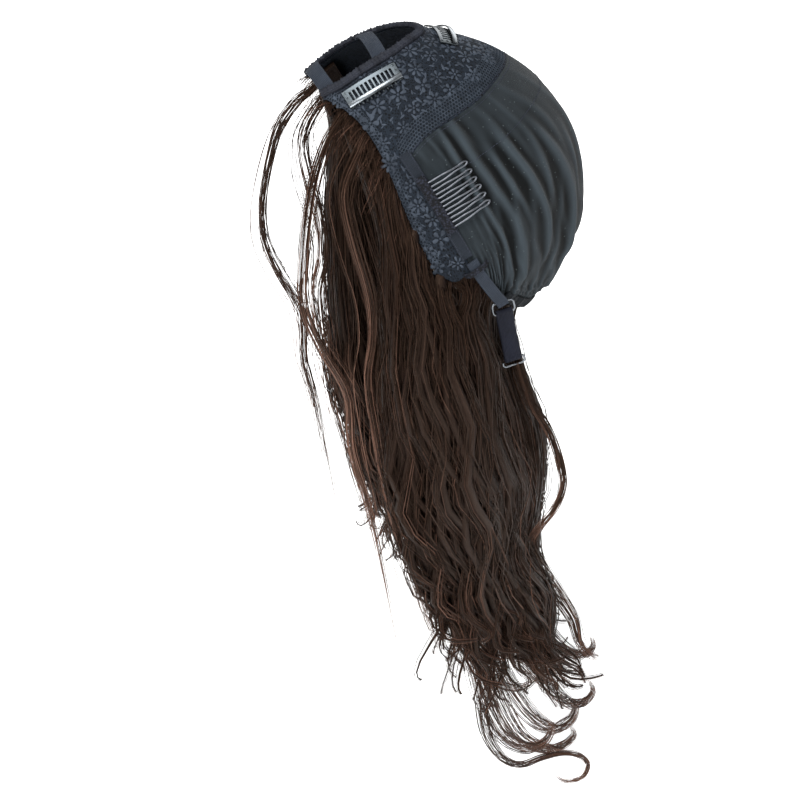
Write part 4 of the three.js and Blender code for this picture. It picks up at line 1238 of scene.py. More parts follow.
def sheet_frame(start, end, width, half=LEFT):
    """Sheet on the head form between two places: x between them, y square to it, lift off the surface."""
    start, end = head_point(start), head_point(end)
    middle = direction_to(((start + end) / 2)[None])[0]
    origin, z = head_point(middle[None])[0], head_normal(middle[None])[0]
    x = end - start
    x = unit(x - (x * z).sum() * z)
    y = np.cross(z, x)

    def place(u, v, lift):
        u, v, lift = np.broadcast_arrays(np.asarray(u, float), v, lift)
        flat = origin + x * (u - width / 2)[..., None] + y * v[..., None]
        return lifted(direction_to(flat), lift) * np.array([half, 1, 1])

    return place


def wire_combs():
    behind = SLEEVE_BEHIND + SLEEVE_WIDTH / 2 + 0.9
    start, end = beside_spoke(1, SIDE_SEAM, np.array([SLEEVE_FROM + 0.02, SLEEVE_TO]), behind)
    pitch = COMB_WIDTH / COMB_TEETH
    for half, side in SIDES:
        place = sheet_frame(start, end, COMB_WIDTH, half)
        rows = []
        for tooth in range(COMB_TEETH):
            middle = (tooth + 0.5) * pitch
            rows += [(middle - row["across"] * pitch, row["up"], row["lift"]) for row in TOOTH_OUTLINE]
            other_side = TOOTH_OUTLINE[-2::-1]
            rows += [(middle + row["across"] * pitch, row["up"], row["lift"]) for row in other_side]
        rows = np.array(rows)
        points = smooth_path(place(rows[:, 0], rows[:, 1], rows[:, 2]), 420)
        vertices, faces, _ = wire_body(points, COMB_RADIUS, 7)
        settle(make_piece(f"wire_comb_{side}", vertices, faces, COMB_WIRE), "comb_wire", f"side_comb_{side}")


# Snap clips
CLIP_LENGTH = 38
CLIP_TEETH = 10
CLIP_PITCH = 2.9
CLIP_LIFT = 1
CLIP_PLATE = 0.8
BAR_GAP = 0.4
BAR_THICKNESS = 0.9
CLIP_END_WIDTH = 4.2
CLIP_BAND = 2.6
CLIP_END_DEPTH = 12.4
TOOTH_DEPTH = 13.8
BAR_HINGE_ACROSS = 8.2
STRIP_ROUND = 0.22
STRIP_EDGE = 0.25
EYELET_RADIUS = 0.62
EYELET_SIDES = 14


def sheet_body(rings):
    """Closed body from rings laid on a sheet, which run the other way round from a loft's."""
    rings = np.array(rings)
    return rings.reshape(-1, 3), flipped(tube_faces(*rings.shape[:2]))


def strip_on_sheet(place, path, widths, low, thickness, along_x):
    """Rounded strip on a sheet: path of (x, y) with a width at each, thickness raised from low."""
    rings = []
    for (x, y), width in zip(np.asarray(path, float), np.asarray(widths, float)):
        half, inner = width / 2, width / 2 - STRIP_ROUND
        across = np.array([-half, -inner, inner, half, half, inner, 0, -inner, -half])
        top = thickness - STRIP_EDGE
        upper_side = [top, thickness, thickness + 0.06, thickness, top]
        lift = low + np.array([STRIP_EDGE, 0, 0, STRIP_EDGE] + upper_side)
        rings.append(place(x, y + across, lift) if along_x else place(x - across, y, lift))
    return sheet_body(rings)


def eyelet(place, x, y):
    """Small rolled rim round a hole at a clip's end."""
    turn = 2 * np.pi * np.arange(EYELET_SIDES) / EYELET_SIDES
    rim_lift = CLIP_LIFT + CLIP_PLATE + 0.02
    rim = place(x + EYELET_RADIUS * np.cos(turn), y + EYELET_RADIUS * np.sin(turn), rim_lift)
    ups = np.repeat(place(x, y, 3.0)[None] - place(x, y, 0.0)[None], EYELET_SIDES, 0)
    return loft(rim, unit(ups), circle(5, 0.22), loop=True)[:2]


def clip_plate(place):
    """Toothed plate: a long band, two end bars with eyelets, and the teeth."""
    across = np.linspace(0.15, CLIP_LENGTH - 0.15, 34)
    band = [(x, CLIP_BAND / 2) for x in across]
    parts = [strip_on_sheet(place, band, [CLIP_BAND] * 34, CLIP_LIFT, CLIP_PLATE, True)]
    for x in (CLIP_END_WIDTH / 2, CLIP_LENGTH - CLIP_END_WIDTH / 2):
        down = np.linspace(0.2, CLIP_END_DEPTH, 14)
        widths = CLIP_END_WIDTH * np.sqrt(np.clip(1 - ((down - 9.4) / 3.4).clip(0, 1) ** 2 * 0.75, 0.05, 1))
        parts.append(strip_on_sheet(place, [(x, y) for y in down], widths, CLIP_LIFT, CLIP_PLATE, False))
        parts += [eyelet(place, x, y) for y in (1.7, 5.2)]
    first = (CLIP_LENGTH - (CLIP_TEETH - 1) * CLIP_PITCH) / 2
    for tooth in range(CLIP_TEETH):
        x = first + tooth * CLIP_PITCH
        down = np.linspace(CLIP_BAND - 0.4, TOOTH_DEPTH, 12)
        widths = 1.5 - 0.4 * ((down - CLIP_BAND) / (TOOTH_DEPTH - CLIP_BAND)).clip(0, 1) ** 2
        widths[-1] *= 0.6
        parts.append(strip_on_sheet(place, [(x, y) for y in down], widths, CLIP_LIFT, CLIP_PLATE, False))
    return merged(parts)


def clip_bar(place):
    """Bowed bar over the plate, highest and widest in the middle."""
    rings = []
    for x in np.linspace(0.4, CLIP_LENGTH - 0.4, 40):
        rise = np.sin(np.pi * x / CLIP_LENGTH)
        inner, outer = BAR_HINGE_ACROSS + 0.9 * rise, BAR_HINGE_ACROSS + 3.4 + 0.6 * rise
        low = CLIP_LIFT + CLIP_PLATE + BAR_GAP + 0.9 * rise
        across = inner + (outer - inner) * np.array([0.06, 0.94, 1, 1, 0.86, 0.5, 0.14, 0, 0])
        lift = low + BAR_THICKNESS * np.array([0, 0, 0.25, 0.7, 0.95, 1, 0.95, 0.7, 0.25])
        rings.append(place(x, across, lift))
    return sheet_body(rings)


def snap_clip(name, place, half, plate_node, bar_node, bar_body):
    pieces = []
    for prefix, body, steel, sharp in (
        ("clip_comb", clip_plate(place), CLIP_STEEL, 40),
        ("clip_snap_bar", clip_bar(place), BAR_STEEL, 50),
    ):
        vertices, faces = body
        faces = flipped(faces) if half == RIGHT else faces
        pieces.append(make_piece(f"{prefix}_{name}", vertices, faces, steel, sharp=sharp))
    plate, bar = pieces
    settle(plate, "clip_steel", plate_node)
    settle(bar, "clip_bar_steel", bar_node, body=bar_body)


def snap_clips():
    start, end = direction(74.6, 23.2), direction(59.4, 25.4)
    for half, side in SIDES:
        place = sheet_frame(start, end, CLIP_LENGTH, half)
        snap_clip(side, place, half, f"clip_plate_{side}", f"clip_bar_{side}", f"{side}_bar")
    place = sheet_frame(direction(88.7, -13.4), direction(88.7, 13.4), CLIP_LENGTH)
    snap_clip("back", place, LEFT, "clip_plate_back", "clip_bar_back", "back_bar")


# Hair: locks as tables of places and radii from root to tip
LEFT_LOCKS = [
    {
        "path": [
            (49, -42, 32), (60, -46, 2), (73, -44, -50), (80, -41, -150), (82, -34, -215),
            (82, -20, -270), (77, -6, -325), (73, -2, -388),
        ],
        "radii": [4, 8, 10, 12, 13, 12, 8, 2],
        "phase": 0.2,
    },
    {
        "path": [
            (64.7, -28, 2), (73, -35, -26), (83, -32, -70), (88, -24, -150), (88, -12, -230),
            (85, 6, -310), (80, 12, -402),
        ],
        "radii": [4.5, 8, 12, 15, 16, 14, 2],
        "phase": 1.7,
    },
    {
        "path": [
            (72.5, -14, -22), (81, -19, -56), (88, -14, -95), (92, -6, -170), (92, 6, -250),
            (88, 20, -330), (80, 32, -416),
        ],
        "radii": [4.5, 8, 13, 17, 17, 15, 2],
        "phase": 3.1,
    },
    {
        "path": [
            (76.8, 5, -35), (79, 2, -57), (84, 0, -85), (86, 12, -170), (82, 24, -255), (84, 36, -330),
            (82, 46, -412),
        ],
        "radii": [4, 5.5, 10, 17, 18, 16, 2],
        "phase": 4.4,
    },
    {
        "path": [
            (75, 17, -53), (73, 11, -76), (74, 12, -115), (74, 30, -190), (74, 34, -245), (78, 48, -300),
            (82, 60, -355), (82, 58, -402),
        ],
        "radii": [4, 6, 12, 18, 16, 17, 13, 2],
        "phase": 5.2,
    },
    {
        "path": [
            (68, 26, -63), (60, 30, -92), (57, 38, -135), (60, 52, -195), (58, 46, -250), (64, 56, -310),
            (68, 62, -370), (68, 56, -418),
        ],
        "radii": [4, 8, 14, 17, 15, 16, 12, 2],
        "phase": 0.9,
    },
]
BACK_LOCKS = [
    {
        "path": [
            (37.5, 52, -79), (35, 43, -95), (34, 40, -124), (35, 42, -165), (37, 54, -220),
            (35, 52, -285), (39, 60, -345), (37, 56, -404),
        ],
        "radii": [4, 5, 9, 14, 16, 15, 13, 2],
        "phase": 1.1,
    },
    {
        "path": [
            (11.2, 62, -83), (11.5, 50, -100), (12, 44, -130), (12, 46, -172), (13, 58, -230),
            (12, 56, -290), (14, 64, -350), (12, 60, -412),
        ],
        "radii": [4, 5, 9, 14, 16, 15, 13, 2],
        "phase": 3.6,
    },
]
TAIL_CURL = {
    "path": [
        (84, 14, -372), (86, 18, -404), (88, 30, -428), (88, 45, -438), (88, 60, -435), (88, 76, -434),
        (88, 90, -439), (88, 98, -449), (88, 94, -460), (88, 81, -461), (88, 71, -453),
    ],
    "radii": [5, 4.5, 3.4, 2.8, 2.4, 2, 1.8, 1.6, 1.4, 1.2, 1],
    "phase": 0,
}


def flick(x, path, radii, phase):
    """A loose curl that lies in one plane: x is its distance from the middle, path its (y, z) places."""
    return {"path": [(x, y, z) for y, z in path], "radii": radii, "phase": phase}


FLICKS = [
    flick(
        70,
        [
            (40, -205), (44, -239), (56, -273), (73, -303), (87, -328), (93, -349), (101, -362),
            (110, -368),
        ],
        [7, 7, 6, 5, 4, 3, 2.4, 1.6],
        0,
    ),
    flick(
        60,
        [
            (30, -240), (34, -276), (50, -312), (70, -343), (86, -362), (100, -370), (108, -364),
            (106, -355),
        ],
        [7, 7, 7, 6, 4.5, 3.2, 2.2, 1.4],
        0.8,
    ),
    flick(
        60,
        [
            (30, -280), (35, -318), (51, -356), (72, -387), (89, -410), (102, -414), (110, -405),
            (106, -394),
        ],
        [8, 8, 7, 6, 5, 3.6, 2.4, 1.4],
        1.9,
    ),
    flick(
        50,
        [
            (30, -310), (32, -350), (44, -388), (65, -425), (83, -441), (97, -436), (101, -424),
            (95, -416),
        ],
        [8, 8, 8, 6, 5, 3.6, 2.4, 1.4],
        3.0,
    ),
    flick(
        78,
        [
            (34, -110), (45, -141), (59, -166), (68, -192), (71, -211), (66, -228), (56, -242),
            (48, -255),
        ],
        [4, 4, 3, 2.4, 2, 2, 2.4, 3],
        4.1,
    ),
    flick(
        80,
        [
            (4, -290), (6, -325), (13, -361), (23, -394), (35, -417), (53, -430), (66, -427), (71, -416),
            (66, -408),
        ],
        [7, 7, 7, 6, 5, 4, 3, 2.2, 1.4],
        5.0,
    ),
    flick(
        40,
        [
            (17, -290), (19, -320), (28, -365), (44, -414), (61, -450), (80, -466), (95, -468),
            (105, -460), (102, -450),
        ],
        [8, 8, 8, 7, 5.5, 4.2, 3, 2, 1.4],
        0.4,
    ),
]
FRONT_LOCKS = [
    {
        "path": [
            (29.5, -65.4, 54.6), (33, -72, 47), (40, -82, 36), (50, -93, 12), (58, -101, -30),
            (60, -102, -62), (62, -92, -92), (64, -76, -126), (66, -74, -164), (70, -66, -200),
            (76, -58, -246), (78, -46, -322),
        ],
        "radii": [1.8, 2.2, 3, 3, 3.2, 3.2, 3, 3.2, 3, 2.6, 2.2, 0.9],
        "phase": 0,
    },
    {
        "path": [
            (41, -53.5, 43.5), (48, -62, 34), (54, -73, 10), (60, -69, -20), (64, -60, -56),
            (66, -58, -86), (69, -62, -114), (73, -58, -150), (78, -50, -204), (80, -42, -238),
            (84, -28, -292), (86, -16, -330),
        ],
        "radii": [2.6, 4, 4.6, 5, 5, 5, 5.2, 5.4, 5, 4.6, 4, 1.5],
        "phase": 0,
    },
]


def opposite(lock):
    return {**lock, "path": [(-x, y, z) for x, y, z in lock["path"]], "phase": lock["phase"] + 1.4}


def lock_reading(lock, share, sway):
    """Centre points, radii and two side directions of a lock at shares of its length."""
    path, radii = np.array(lock["path"], float), np.array(lock["radii"], float)
    keys = np.linspace(0, 1, len(path))
    read = lambda at: np.stack([smooth_value(keys, path[:, k], at) for k in range(3)], -1)
    turn = lock["phase"] + 9 * share
    swing = sway * smoothstep(share, 0.25, 0.6)
    level = np.zeros_like(turn)
    centre = read(share) + np.stack([0.7 * swing * np.cos(turn), swing * np.sin(turn), level], -1)
    along = unit(read(np.clip(share + 0.01, 0, 1)) - read(np.clip(share - 0.01, 0, 1)))
    outward = np.stack([centre[..., 0], centre[..., 1] - 10, np.zeros_like(turn)], -1)
    outward = unit(outward - (outward * along).sum(-1, keepdims=True) * along)
    radius = np.maximum(smooth_value(np.linspace(0, 1, len(radii)), radii, share), 0.8)
    return centre, radius, np.cross(outward, along), outward


def cap_edge_places():
    """Places just inside the cap's front and lower edge on the left, in order."""
    front = spoke(1, np.full(60, 0.012), np.linspace(0.06, 0.97, 60))
    lower = spoke(1, np.linspace(0.02, 1, 140), 0.975)
    return np.concatenate([lifted(front, np.full(60, -2.6)), lifted(lower, np.full(140, -2.8))])


def cap_surface():
    """The cap's outer surface, for finding the nearest place on it."""
    halves, shares = cap_columns(np.linspace(0, 1, 60))
    t = np.linspace(0, 1, 50)
    dirs = spoke(halves[:, None], shares[:, None], t)
    grid = head_point(dirs)
    index = np.arange(grid[..., 0].size).reshape(grid.shape[:2])
    faces = np.stack([index[:-1, :-1], index[:-1, 1:], index[1:, 1:], index[1:, :-1]], -1).reshape(-1, 4)
    return BVHTree.FromPolygons(grid.reshape(-1, 3).tolist(), faces.tolist())


CAP_SURFACE = cap_surface()
CAP_ROOM = 11.0
UNDER_CAP = 2.7
ASIDE_ROOM = 0.6
CAP_LOWEST = -100
CAP_FOREMOST = -110


def kept_under_cap(points, under=UNDER_CAP):
    """Moves hair that would show through the cap to just under it; hair beyond its edges is left."""
    flat = points.reshape(-1, 3)
    near = np.nonzero((flat[:, 2] > CAP_LOWEST) & (flat[:, 1] > CAP_FOREMOST))[0]
    for i in near.tolist():
        place, normal, _, _ = CAP_SURFACE.find_nearest(Vector(flat[i]), CAP_ROOM)
        if place is None:
            continue
        place, normal = np.array(place), np.array(normal)
        if normal @ (place - np.array([0, 10, -60])) < 0:
            normal = -normal
        off = flat[i] - place
        height = off @ normal
        aside = np.linalg.norm(off - height * normal)
        if aside < ASIDE_ROOM and height > -under:
            flat[i] = place - normal * under
    return flat.reshape(points.shape)


def tail_room(points):
    """Keeps hair inside of the hanging straps."""
    flat = points.reshape(-1, 3)
    for half in (LEFT, RIGHT):
        along = (flat[:, 2] - HANG_TOP[2]) / HANG_DOWN[2]
        middle_y = HANG_TOP[1] + HANG_DOWN[1] * along
        beside = (np.abs(flat[:, 1] - middle_y) < 8.5) & (flat[:, 0] * half > 60)
        beside &= (along > -12) & (along < 52)
        limit = HANG_TOP[0] - 3.4
        flat[beside, 0] = half * np.minimum(flat[beside, 0] * half, limit)
    return flat.reshape(points.shape)


SIDE_ROOM = 98
SIDE_MARGIN = 14


def within_sides(points):
    """Draws curls in that would reach far past the locks at the sides."""
    x = points[..., 0]
    over = np.maximum(np.abs(x) - SIDE_ROOM, 0)
    drawn_in = SIDE_MARGIN * (1 - np.exp(-over / SIDE_MARGIN))
    points[..., 0] = np.sign(x) * (np.minimum(np.abs(x), SIDE_ROOM) + drawn_in)
    return points


def tubes(points, radii, sides, reference):
    """Closed tapered tubes along many paths: points is (paths, steps, 3), radii (paths, steps)."""
    paths, steps = points.shape[:2]
    along = unit(np.gradient(points, axis=1))
    first = unit(np.cross(along, reference[:, None]))
    second = np.cross(along, first)
    ring = circle(sides, 1)
    across = first[:, :, None] * (radii[..., None] * ring[:, 0])[..., None]
    rings = points[:, :, None] + across + second[:, :, None] * (radii[..., None] * ring[:, 1])[..., None]
    p, s, k = np.meshgrid(np.arange(paths), np.arange(steps - 1), np.arange(sides), indexing="ij")
    a = (p * steps + s) * sides
    n = (k + 1) % sides
    quads = np.stack([a + k, a + n, a + sides + n, a + sides + k], -1).reshape(-1, 4)
    starts = (np.arange(paths) * steps * sides)[:, None]
    first_caps = starts + np.arange(sides)[::-1]
    last_caps = starts + (steps - 1) * sides + np.arange(sides)
    return rings.reshape(-1, 3), quads.tolist() + first_caps.tolist() + last_caps.tolist()


def hair_piece(name, points, radii, sides, reference, tones, material):
    """One mesh of many strands with a tone for each, darker at the root."""
    piece = make_piece(name, *tubes(points, radii, sides, reference), material, sharp=180)
    along = np.linspace(0, 1, points.shape[1])
    # Tone rises from root to tip, most at the thin ends, towards the reddish edge colour: partly the hair's
    # own paler ends, partly painted highlight and light through them
    tone = np.clip(tones[:, None] * (0.55 + 0.6 * along) + 0.1 * smoothstep(along, 0.8, 1), 0, 1)
    give_values(piece.data, "tone", "FLOAT", np.repeat(tone[:, :, None], sides, 2))
    length = np.cumsum(np.linalg.norm(np.diff(points, axis=1, prepend=points[:, :1]), axis=2), axis=1)
    apart = 0.03 * length + 9.0 * np.arange(len(points))[:, None]
    around = np.maximum(radii, 0.6)[..., None, None] * circle(sides, 1)
    space = np.concatenate([around, np.repeat(apart[:, :, None], sides, 2)[..., None]], -1)
    give_values(piece.data, "strand_space", "FLOAT_VECTOR", space)
    return settle(piece, "hair", "hair")


CLUMPS_PER_LOCK = 17
STRANDS_PER_CLUMP = 10
STRAND_STEPS = 27
STRAND_RADIUS = 0.34
LOCK_SWAY = 3
CORE_STEPS = 34
CORE_END = 0.84
STRAND_SHARES = 1 - (1 - np.linspace(0, 1, STRAND_STEPS)) ** 1.5
# Share of a lock's length over which its hair leaves the cap's edge
SIDE_ROOTS_SETTLED = 0.2
BACK_ROOTS_SETTLED = 0.5


def root_places(lock_index, spread, half):
    """Places along the cap's edge for a lock's clumps, spread from -1 to 1 across its stretch."""
    edge = cap_edge_places()
    roots = [np.array(lock["path"][0]) for lock in LEFT_LOCKS + BACK_LOCKS]
    centres = [np.argmin(np.linalg.norm(edge - root, axis=1)) for root in roots]
    limits = [3] + [(a + b) / 2 for a, b in zip(centres[:-1], centres[1:])] + [len(edge) - 1]
    low, high = limits[lock_index], limits[lock_index + 1]
    at = low + (high - low) * (0.5 + 0.5 * np.clip(spread, -1, 1))
    steps = np.arange(len(edge))
    return np.stack([np.interp(at, steps, edge[:, k]) for k in range(3)], -1) * np.array([half, 1, 1])


def clump_paths(rng, lock, lock_index, half):
    """Centre lines of a lock's clumps, waving and curled at the ends."""
    count = CLUMPS_PER_LOCK
    share = STRAND_SHARES[None]
    turn = (np.arange(count) + rng.uniform(-0.3, 0.3, count)) * 2 * np.pi / count
    reach = rng.uniform(0.5, 0.86, count)
    length = rng.uniform(0.9, 1.0, count)[:, None]
    curl_start = rng.uniform(0.76, 0.86, count)[:, None]
    curl_turn = rng.choice([0.6, 1.3, 2.0, 2.7], count, p=[0.2, 0.3, 0.3, 0.2])[:, None]
    curl_radius = rng.uniform(13, 22, count)[:, None]
    into_curl = np.clip((share - curl_start) / (1 - curl_start), 0, 1)
    straight = np.minimum(share, curl_start) + 0.45 * (1 - curl_start) * into_curl
    centre, radius, across, outward = lock_reading(lock, np.clip(straight * length, 0, 1), LOCK_SWAY)
    radius = np.maximum(radius, 9.5 * smoothstep(share, 0.8, 0.9))
    narrow = 1 - 0.2 * smoothstep(share, 0.7, 1)
    lie_across = (np.cos(turn) * reach)[:, None] * radius * narrow
    lie_out = (np.sin(turn) * reach)[:, None] * radius * 0.86 * narrow
    grow = smoothstep(share, 0.12, 0.7)
    phase = 2 * lock["phase"] + rng.normal(0, 0.55, count)[:, None]
    waves = rng.normal(4.9, 0.22, count)[:, None]
    swinging = 2 * np.pi * waves * share + phase
    started = smoothstep(share, 0.08, 0.35)
    wave = (1.2 + 5.2 * grow) * np.sin(swinging) * started
    sway = (0.6 + 3.0 * grow) * np.cos(swinging + 0.9) * started
    points = centre + across * (lie_across + wave)[..., None] + outward * (lie_out + sway)[..., None]
    curl_way = rng.uniform(-0.9, 0.9, count)[:, None, None]
    away = unit(outward[:, -1:] * np.cos(curl_way) + across[:, -1:] * np.sin(curl_way))
    bent = into_curl * curl_turn
    points = points + away * (curl_radius * (1 - np.cos(bent)))[..., None]
    points[..., 2] -= 0.75 * curl_radius * np.sin(bent)
    roots = root_places(lock_index, np.cos(turn), half)
    settled = SIDE_ROOTS_SETTLED if lock_index < len(LEFT_LOCKS) else BACK_ROOTS_SETTLED
    points += (roots - points[:, 0])[:, None] * (1 - smoothstep(share, 0, settled))[..., None]
    reference = unit(np.cross(away[:, 0], [0, 0, 1]))
    return points, radius, reference


def clump_strands(rng, clump, around, facing):
    """Single hairs that twist round a clump and part from it lower down."""
    share, count = STRAND_SHARES, (STRANDS_PER_CLUMP, 1)
    turn = rng.uniform(0, 6.28, STRANDS_PER_CLUMP)[:, None]
    twist = rng.uniform(-1.6, 1.6, STRANDS_PER_CLUMP)[:, None] * share
    stray = rng.uniform(0.75, 1.9, count) + 0.9 * share**3 * rng.uniform(0, 1, count)
    along = unit(np.gradient(clump, axis=0))
    first = unit(np.cross(along, facing))
    second = np.cross(along, first)
    ripple = 0.35 * np.sin(rng.uniform(14, 26, count) * share + turn)
    loose = 2.4 * smoothstep(share, 0.45, 0.8) * (1 - smoothstep(share, 0.88, 1))
    size = around * stray + ripple + 0.15 + loose * rng.uniform(0, 1, count)
    across = first * (size * np.cos(turn + twist))[..., None]
    return clump + (across + second * (size * np.sin(turn + twist))[..., None])


def hair_masses():
    """Every thick lock as wavy clumps with strands laid over them."""
    rng = np.random.default_rng(21)
    side_locks = list(enumerate(LEFT_LOCKS))
    back_locks = list(enumerate(BACK_LOCKS, len(LEFT_LOCKS)))
    groups = {
        "left": [(lock, k, LEFT) for k, lock in side_locks],
        "right": [(opposite(lock), k, RIGHT) for k, lock in side_locks],
        "back": [(lock, k, LEFT) for k, lock in back_locks]
        + [(opposite(lock), k, RIGHT) for k, lock in back_locks],
    }
    share = STRAND_SHARES
    clump_points, clump_radii, clump_reference = [], [], []
    for name, group in groups.items():
        strand_points, strand_reference = [], []
        for lock, lock_index, half in group:
            points, radius, reference = clump_paths(rng, lock, lock_index, half)
            body = 0.3 * radius * (1 - 0.8 * smoothstep(share, 0.55, 1))
            body = body * (0.5 + 0.5 * smoothstep(share, 0, 0.2))
            clump_points.append(points)
            clump_radii.append(np.maximum(0.75 * body, 0.35))
            clump_reference.append(reference)
            strand_points += [clump_strands(rng, *clump) for clump in zip(points, body, reference)]
            strand_reference.append(np.repeat(reference, STRANDS_PER_CLUMP, 0))
        points = within_sides(tail_room(kept_under_cap(np.concatenate(strand_points))))
        taper = 1 - 0.75 * smoothstep(share, 0.7, 1)
        radii = STRAND_RADIUS * taper * rng.uniform(0.65, 1.15, (len(points), 1))
        tones = rng.beta(1.4, 2.0, len(points))
        hair_piece(f"hair_strands_{name}", points, radii, 3, np.concatenate(strand_reference), tones, HAIR)
    # Clump bodies under the strands, in the darker hair: painted shade inside the locks
    points = within_sides(tail_room(kept_under_cap(np.concatenate(clump_points), UNDER_CAP + 1.2)))
    tones = rng.uniform(0.1, 0.6, len(points))
    radii, reference = np.concatenate(clump_radii), np.concatenate(clump_reference)
    hair_piece("hair_clumps", points, radii, 6, reference, tones, HAIR_IN_PAINTED_SHADE)


def hair_cores():
    """Middles of the locks in the darker hair: painted shade inside the locks."""
    locks = LEFT_LOCKS + BACK_LOCKS
    locks = locks + [opposite(lock) for lock in locks]
    share = np.linspace(0, CORE_END, CORE_STEPS)
    points, radii, reference = [], [], []
    for lock in locks:
        centre, radius, _, outward = lock_reading(lock, share, LOCK_SWAY)
        points.append(centre)
        radii.append(0.6 * radius * (1 - 0.85 * smoothstep(share, 0.6, CORE_END)))
        reference.append(np.cross(outward[CORE_STEPS // 2 - 1], [0, 0, 1]))
    points = tail_room(kept_under_cap(np.array(points), UNDER_CAP + 2.5))
    tones = np.full(len(locks), 0.1)
    hair_piece("hair_cores", points, np.array(radii), 10, np.array(reference), tones, HAIR_IN_PAINTED_SHADE)


WISP_STEPS = 40
WISP_RADIUS = 0.25
EDGE_HAIRS = 420
EDGE_HAIR_STEPS = 8


def wisp_paths(rng, lock, count, spread, wave):
    """Thin strands that follow a slim lock."""
    share = np.linspace(0, 1, WISP_STEPS)[None] * np.ones((count, 1))
    ends = rng.uniform(0.9, 1.0, count)[:, None]
    centre, radius, across, outward = lock_reading(lock, share * ends, 0)
    turn = rng.uniform(0, 6.28, count)[:, None]
    reach = np.sqrt(rng.uniform(0, 1, count))[:, None]
    phase = rng.uniform(0, 6.28, count)[:, None]
    drift = wave * smoothstep(share, 0, 0.3) * np.sin(5.5 * share + phase)
    size = radius * spread * reach
    points = centre + across * (size * np.cos(turn + 2 * share) + drift)[..., None]
    points = points + outward * (size * np.sin(turn + 2 * share) + 0.6 * drift)[..., None]
    return points, np.repeat(np.array([[1.0, 0, 0]]), count, 0)


def hair_wisps():
    """The loose front strands, the thin curl at the left and single stray hairs."""
    rng = np.random.default_rng(31)
    groups = []
    for lock in FRONT_LOCKS:
        for side in (lock, opposite(lock)):
            groups.append(wisp_paths(rng, side, 30, 1.0, 0.8))
            groups.append(wisp_paths(rng, side, 12, 2.6, 4.0))
    groups.append(wisp_paths(rng, TAIL_CURL, 30, 1.0, 0.6))
    for lock in FLICKS:
        groups.append(wisp_paths(rng, lock, 44, 1.0, 1.2))
        groups.append(wisp_paths(rng, opposite(lock), 22, 1.0, 1.2))
    points = kept_under_cap(np.concatenate([group[0] for group in groups]))
    reference = np.concatenate([group[1] for group in groups])
    count = len(points)
    taper = 1 - 0.7 * smoothstep(np.linspace(0, 1, WISP_STEPS), 0.75, 1)
    radii = WISP_RADIUS * taper * rng.uniform(0.6, 1.2, (count, 1))
    hair_piece("hair_wisps", points, radii, 3, reference, rng.uniform(0.35, 1.0, count), HAIR)


def edge_hairs():
    """Short hairs that stick out from under the front edge and from the binding."""
    rng = np.random.default_rng(41)
    steps, count = EDGE_HAIR_STEPS, EDGE_HAIRS
    half = np.where(rng.uniform(0, 1, count) < 0.5, LEFT, RIGHT)
    t = rng.uniform(0.02, 0.98, count)
    dirs = beside_spoke(half, np.full(count, 0.0), t, rng.uniform(0.5, 2.0, count))
    start = lifted(dirs, np.full(count, -2.2))
    aside = rng.uniform(-0.1, 0.5, count)
    ahead = rng.uniform(-1.0, -0.3, count)
    down = rng.uniform(-0.9, 0.1, count)
    forward = np.stack([half * aside, ahead, down], -1)
    length = rng.uniform(6, 26, count)[:, None, None]
    share = np.linspace(0, 1, steps)[None, :, None]
    fall = [np.zeros(count), rng.uniform(0, 0.5, count), rng.uniform(-1.1, -0.5, count)]
    fall = np.stack(fall, -1)[:, None]
    points = start[:, None] + length * (unit(forward)[:, None] * share + fall * 0.55 * share**2)
    points = kept_under_cap(points, 2.2)
    radii = 0.22 * (1 - 0.7 * np.linspace(0, 1, steps)) * rng.uniform(0.6, 1.2, (count, 1))
    reference = np.repeat(np.array([[1.0, 0.2, 0.1]]), count, 0)
    hair_piece("edge_hairs", points, radii, 3, reference, rng.uniform(0.3, 0.9, count), HAIR)


def hair_root_layer():
    """Sewn-down layer of hair just under the cap's front and lower edge."""
    halves, shares = cap_columns(np.linspace(0, 1, 90))
    t = np.linspace(0, 1, 28)[None] * np.ones((len(shares), 1))
    reach = (spoke_length(shares)[:, None] + 7) / spoke_length(shares)[:, None]
    start = np.where(shares < SIDE_SEAM, 0.05, 0.78)[:, None]
    t = start + (reach - start) * t
    dirs = spoke(halves[:, None], np.clip(shares, 0.012, 1)[:, None], t)
    furrow = 0.35 * np.sin(shares[:, None] * 260) * np.ones(t.shape)
    outer, inner = lifted(dirs, -2.5 + furrow), lifted(dirs, np.full(t.shape, -4.6))
    present = np.ones((len(shares) - 1, t.shape[1] - 1), bool)
    vertices, faces, cloth = cloth_shell(outer, inner, present, cloth_map(shares, t))
    # In the darker hair at a low tone: painted shade under the cap's edge
    piece = make_piece("hair_root_layer", vertices, faces, HAIR_IN_PAINTED_SHADE, cloth, sharp=180)
    give_values(piece.data, "tone", "FLOAT", np.full(len(vertices), 0.2))
    space = np.column_stack([cloth, np.zeros(len(cloth))]) * [1, 0.05, 1]
    give_values(piece.data, "strand_space", "FLOAT_VECTOR", space)
    settle(piece, "hair", "hair")


# Studio
CAMERA_PLACE = np.array([1115.98, -341.19, 447.96])
CAMERA_AIM = np.array([-0.848266, 0.242772, -0.470645])
FOCAL_PIXELS = 1893.9
PHOTO_WIDTH = 800
SENSOR = 36
FLOOR_REACH = 6
FLOOR_BELOW = 0.012


def floor_piece(height):
    mesh = bpy.data.meshes.new("floor")
    corners = [(x * FLOOR_REACH, y * FLOOR_REACH, height) for x, y in ((-1, -1), (1, -1), (1, 1), (-1, 1))]
    mesh.from_pydata(corners, [], [(0, 1, 2, 3)])
    mesh.materials.append(FLOOR)
    add_object("floor", mesh)


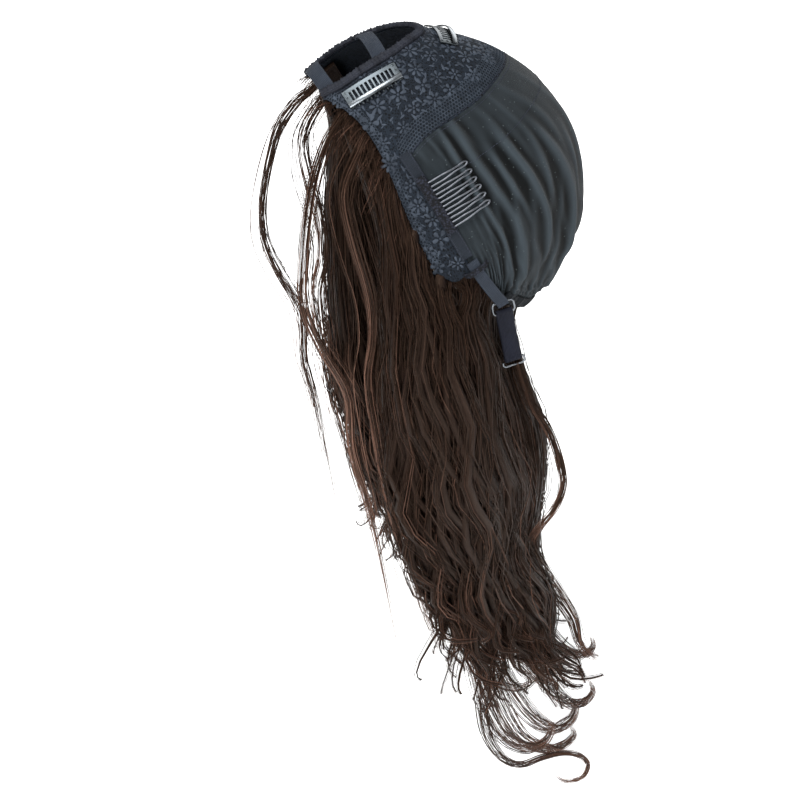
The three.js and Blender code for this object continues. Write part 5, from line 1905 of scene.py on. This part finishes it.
def turned_towards(direction):
    """Turn for a light or camera, which looks down its own -Z."""
    return Vector(direction).to_track_quat("-Z", "Y").to_euler()


def soft_light(name, place, aim, size, watts):
    data = bpy.data.lights.new(name, "AREA")
    data.size, data.energy = size, watts
    light = add_object(name, data)
    light.location = place
    light.rotation_euler = turned_towards(Vector(aim) - Vector(place))


def studio():
    floor_piece(CAD_BOX[0][2] - FLOOR_BELOW)
    centre = (0, 0, -0.2)
    daylight = bpy.data.lights.new("key_sun", "SUN")
    daylight.energy, daylight.angle = 4.2, math.radians(34)
    key = add_object("key_sun", daylight)
    key.rotation_euler = turned_towards(Vector(centre) - Vector((0.7, -0.75, 1.35)))
    soft_light("fill_light", (1.5, 1.0, 0.7), centre, 0.8, 9)
    soft_light("hair_light", (1.2, -0.9, 0.1), (0, 0, -0.35), 0.5, 9)
    soft_light("rim_light", (-1.3, 0.9, 0.8), centre, 1.0, 14)
    world = bpy.data.worlds.new("white_room")
    world.use_nodes = True
    background = world.node_tree.nodes["Background"].inputs
    background["Color"].default_value = (1, 1, 1, 1)
    background["Strength"].default_value = 0.28
    bpy.context.scene.world = world
    bpy.context.scene.view_settings.view_transform = "Standard"


def camera():
    data = bpy.data.cameras.new("camera")
    data.sensor_width = SENSOR
    data.lens = FOCAL_PIXELS * SENSOR / PHOTO_WIDTH
    data.clip_start, data.clip_end = 0.05, 30
    looking = add_object("camera", data)
    looking.location = in_row(CAMERA_PLACE)
    looking.rotation_euler = turned_towards(CAMERA_AIM)
    bpy.context.scene.camera = looking


camera()
studio()
lace_front_panel()
stretch_back_panel()
lace_flower_piece()
honeycomb_net_piece()
stitch_piece()
ruffled_binding()
opening_strap("front_elastic", "strap_front", 57, 19.6, 0.6)
opening_strap("middle_elastic", "strap_middle", 72.5, 18.6, 0.6)
side_tapes()
comb_sleeves()
nape_straps()
hanging_ends()
gathered_nape_band()
wire_combs()
snap_clips()
hair_root_layer()
hair_cores()
hair_masses()
hair_wisps()
edge_hairs()
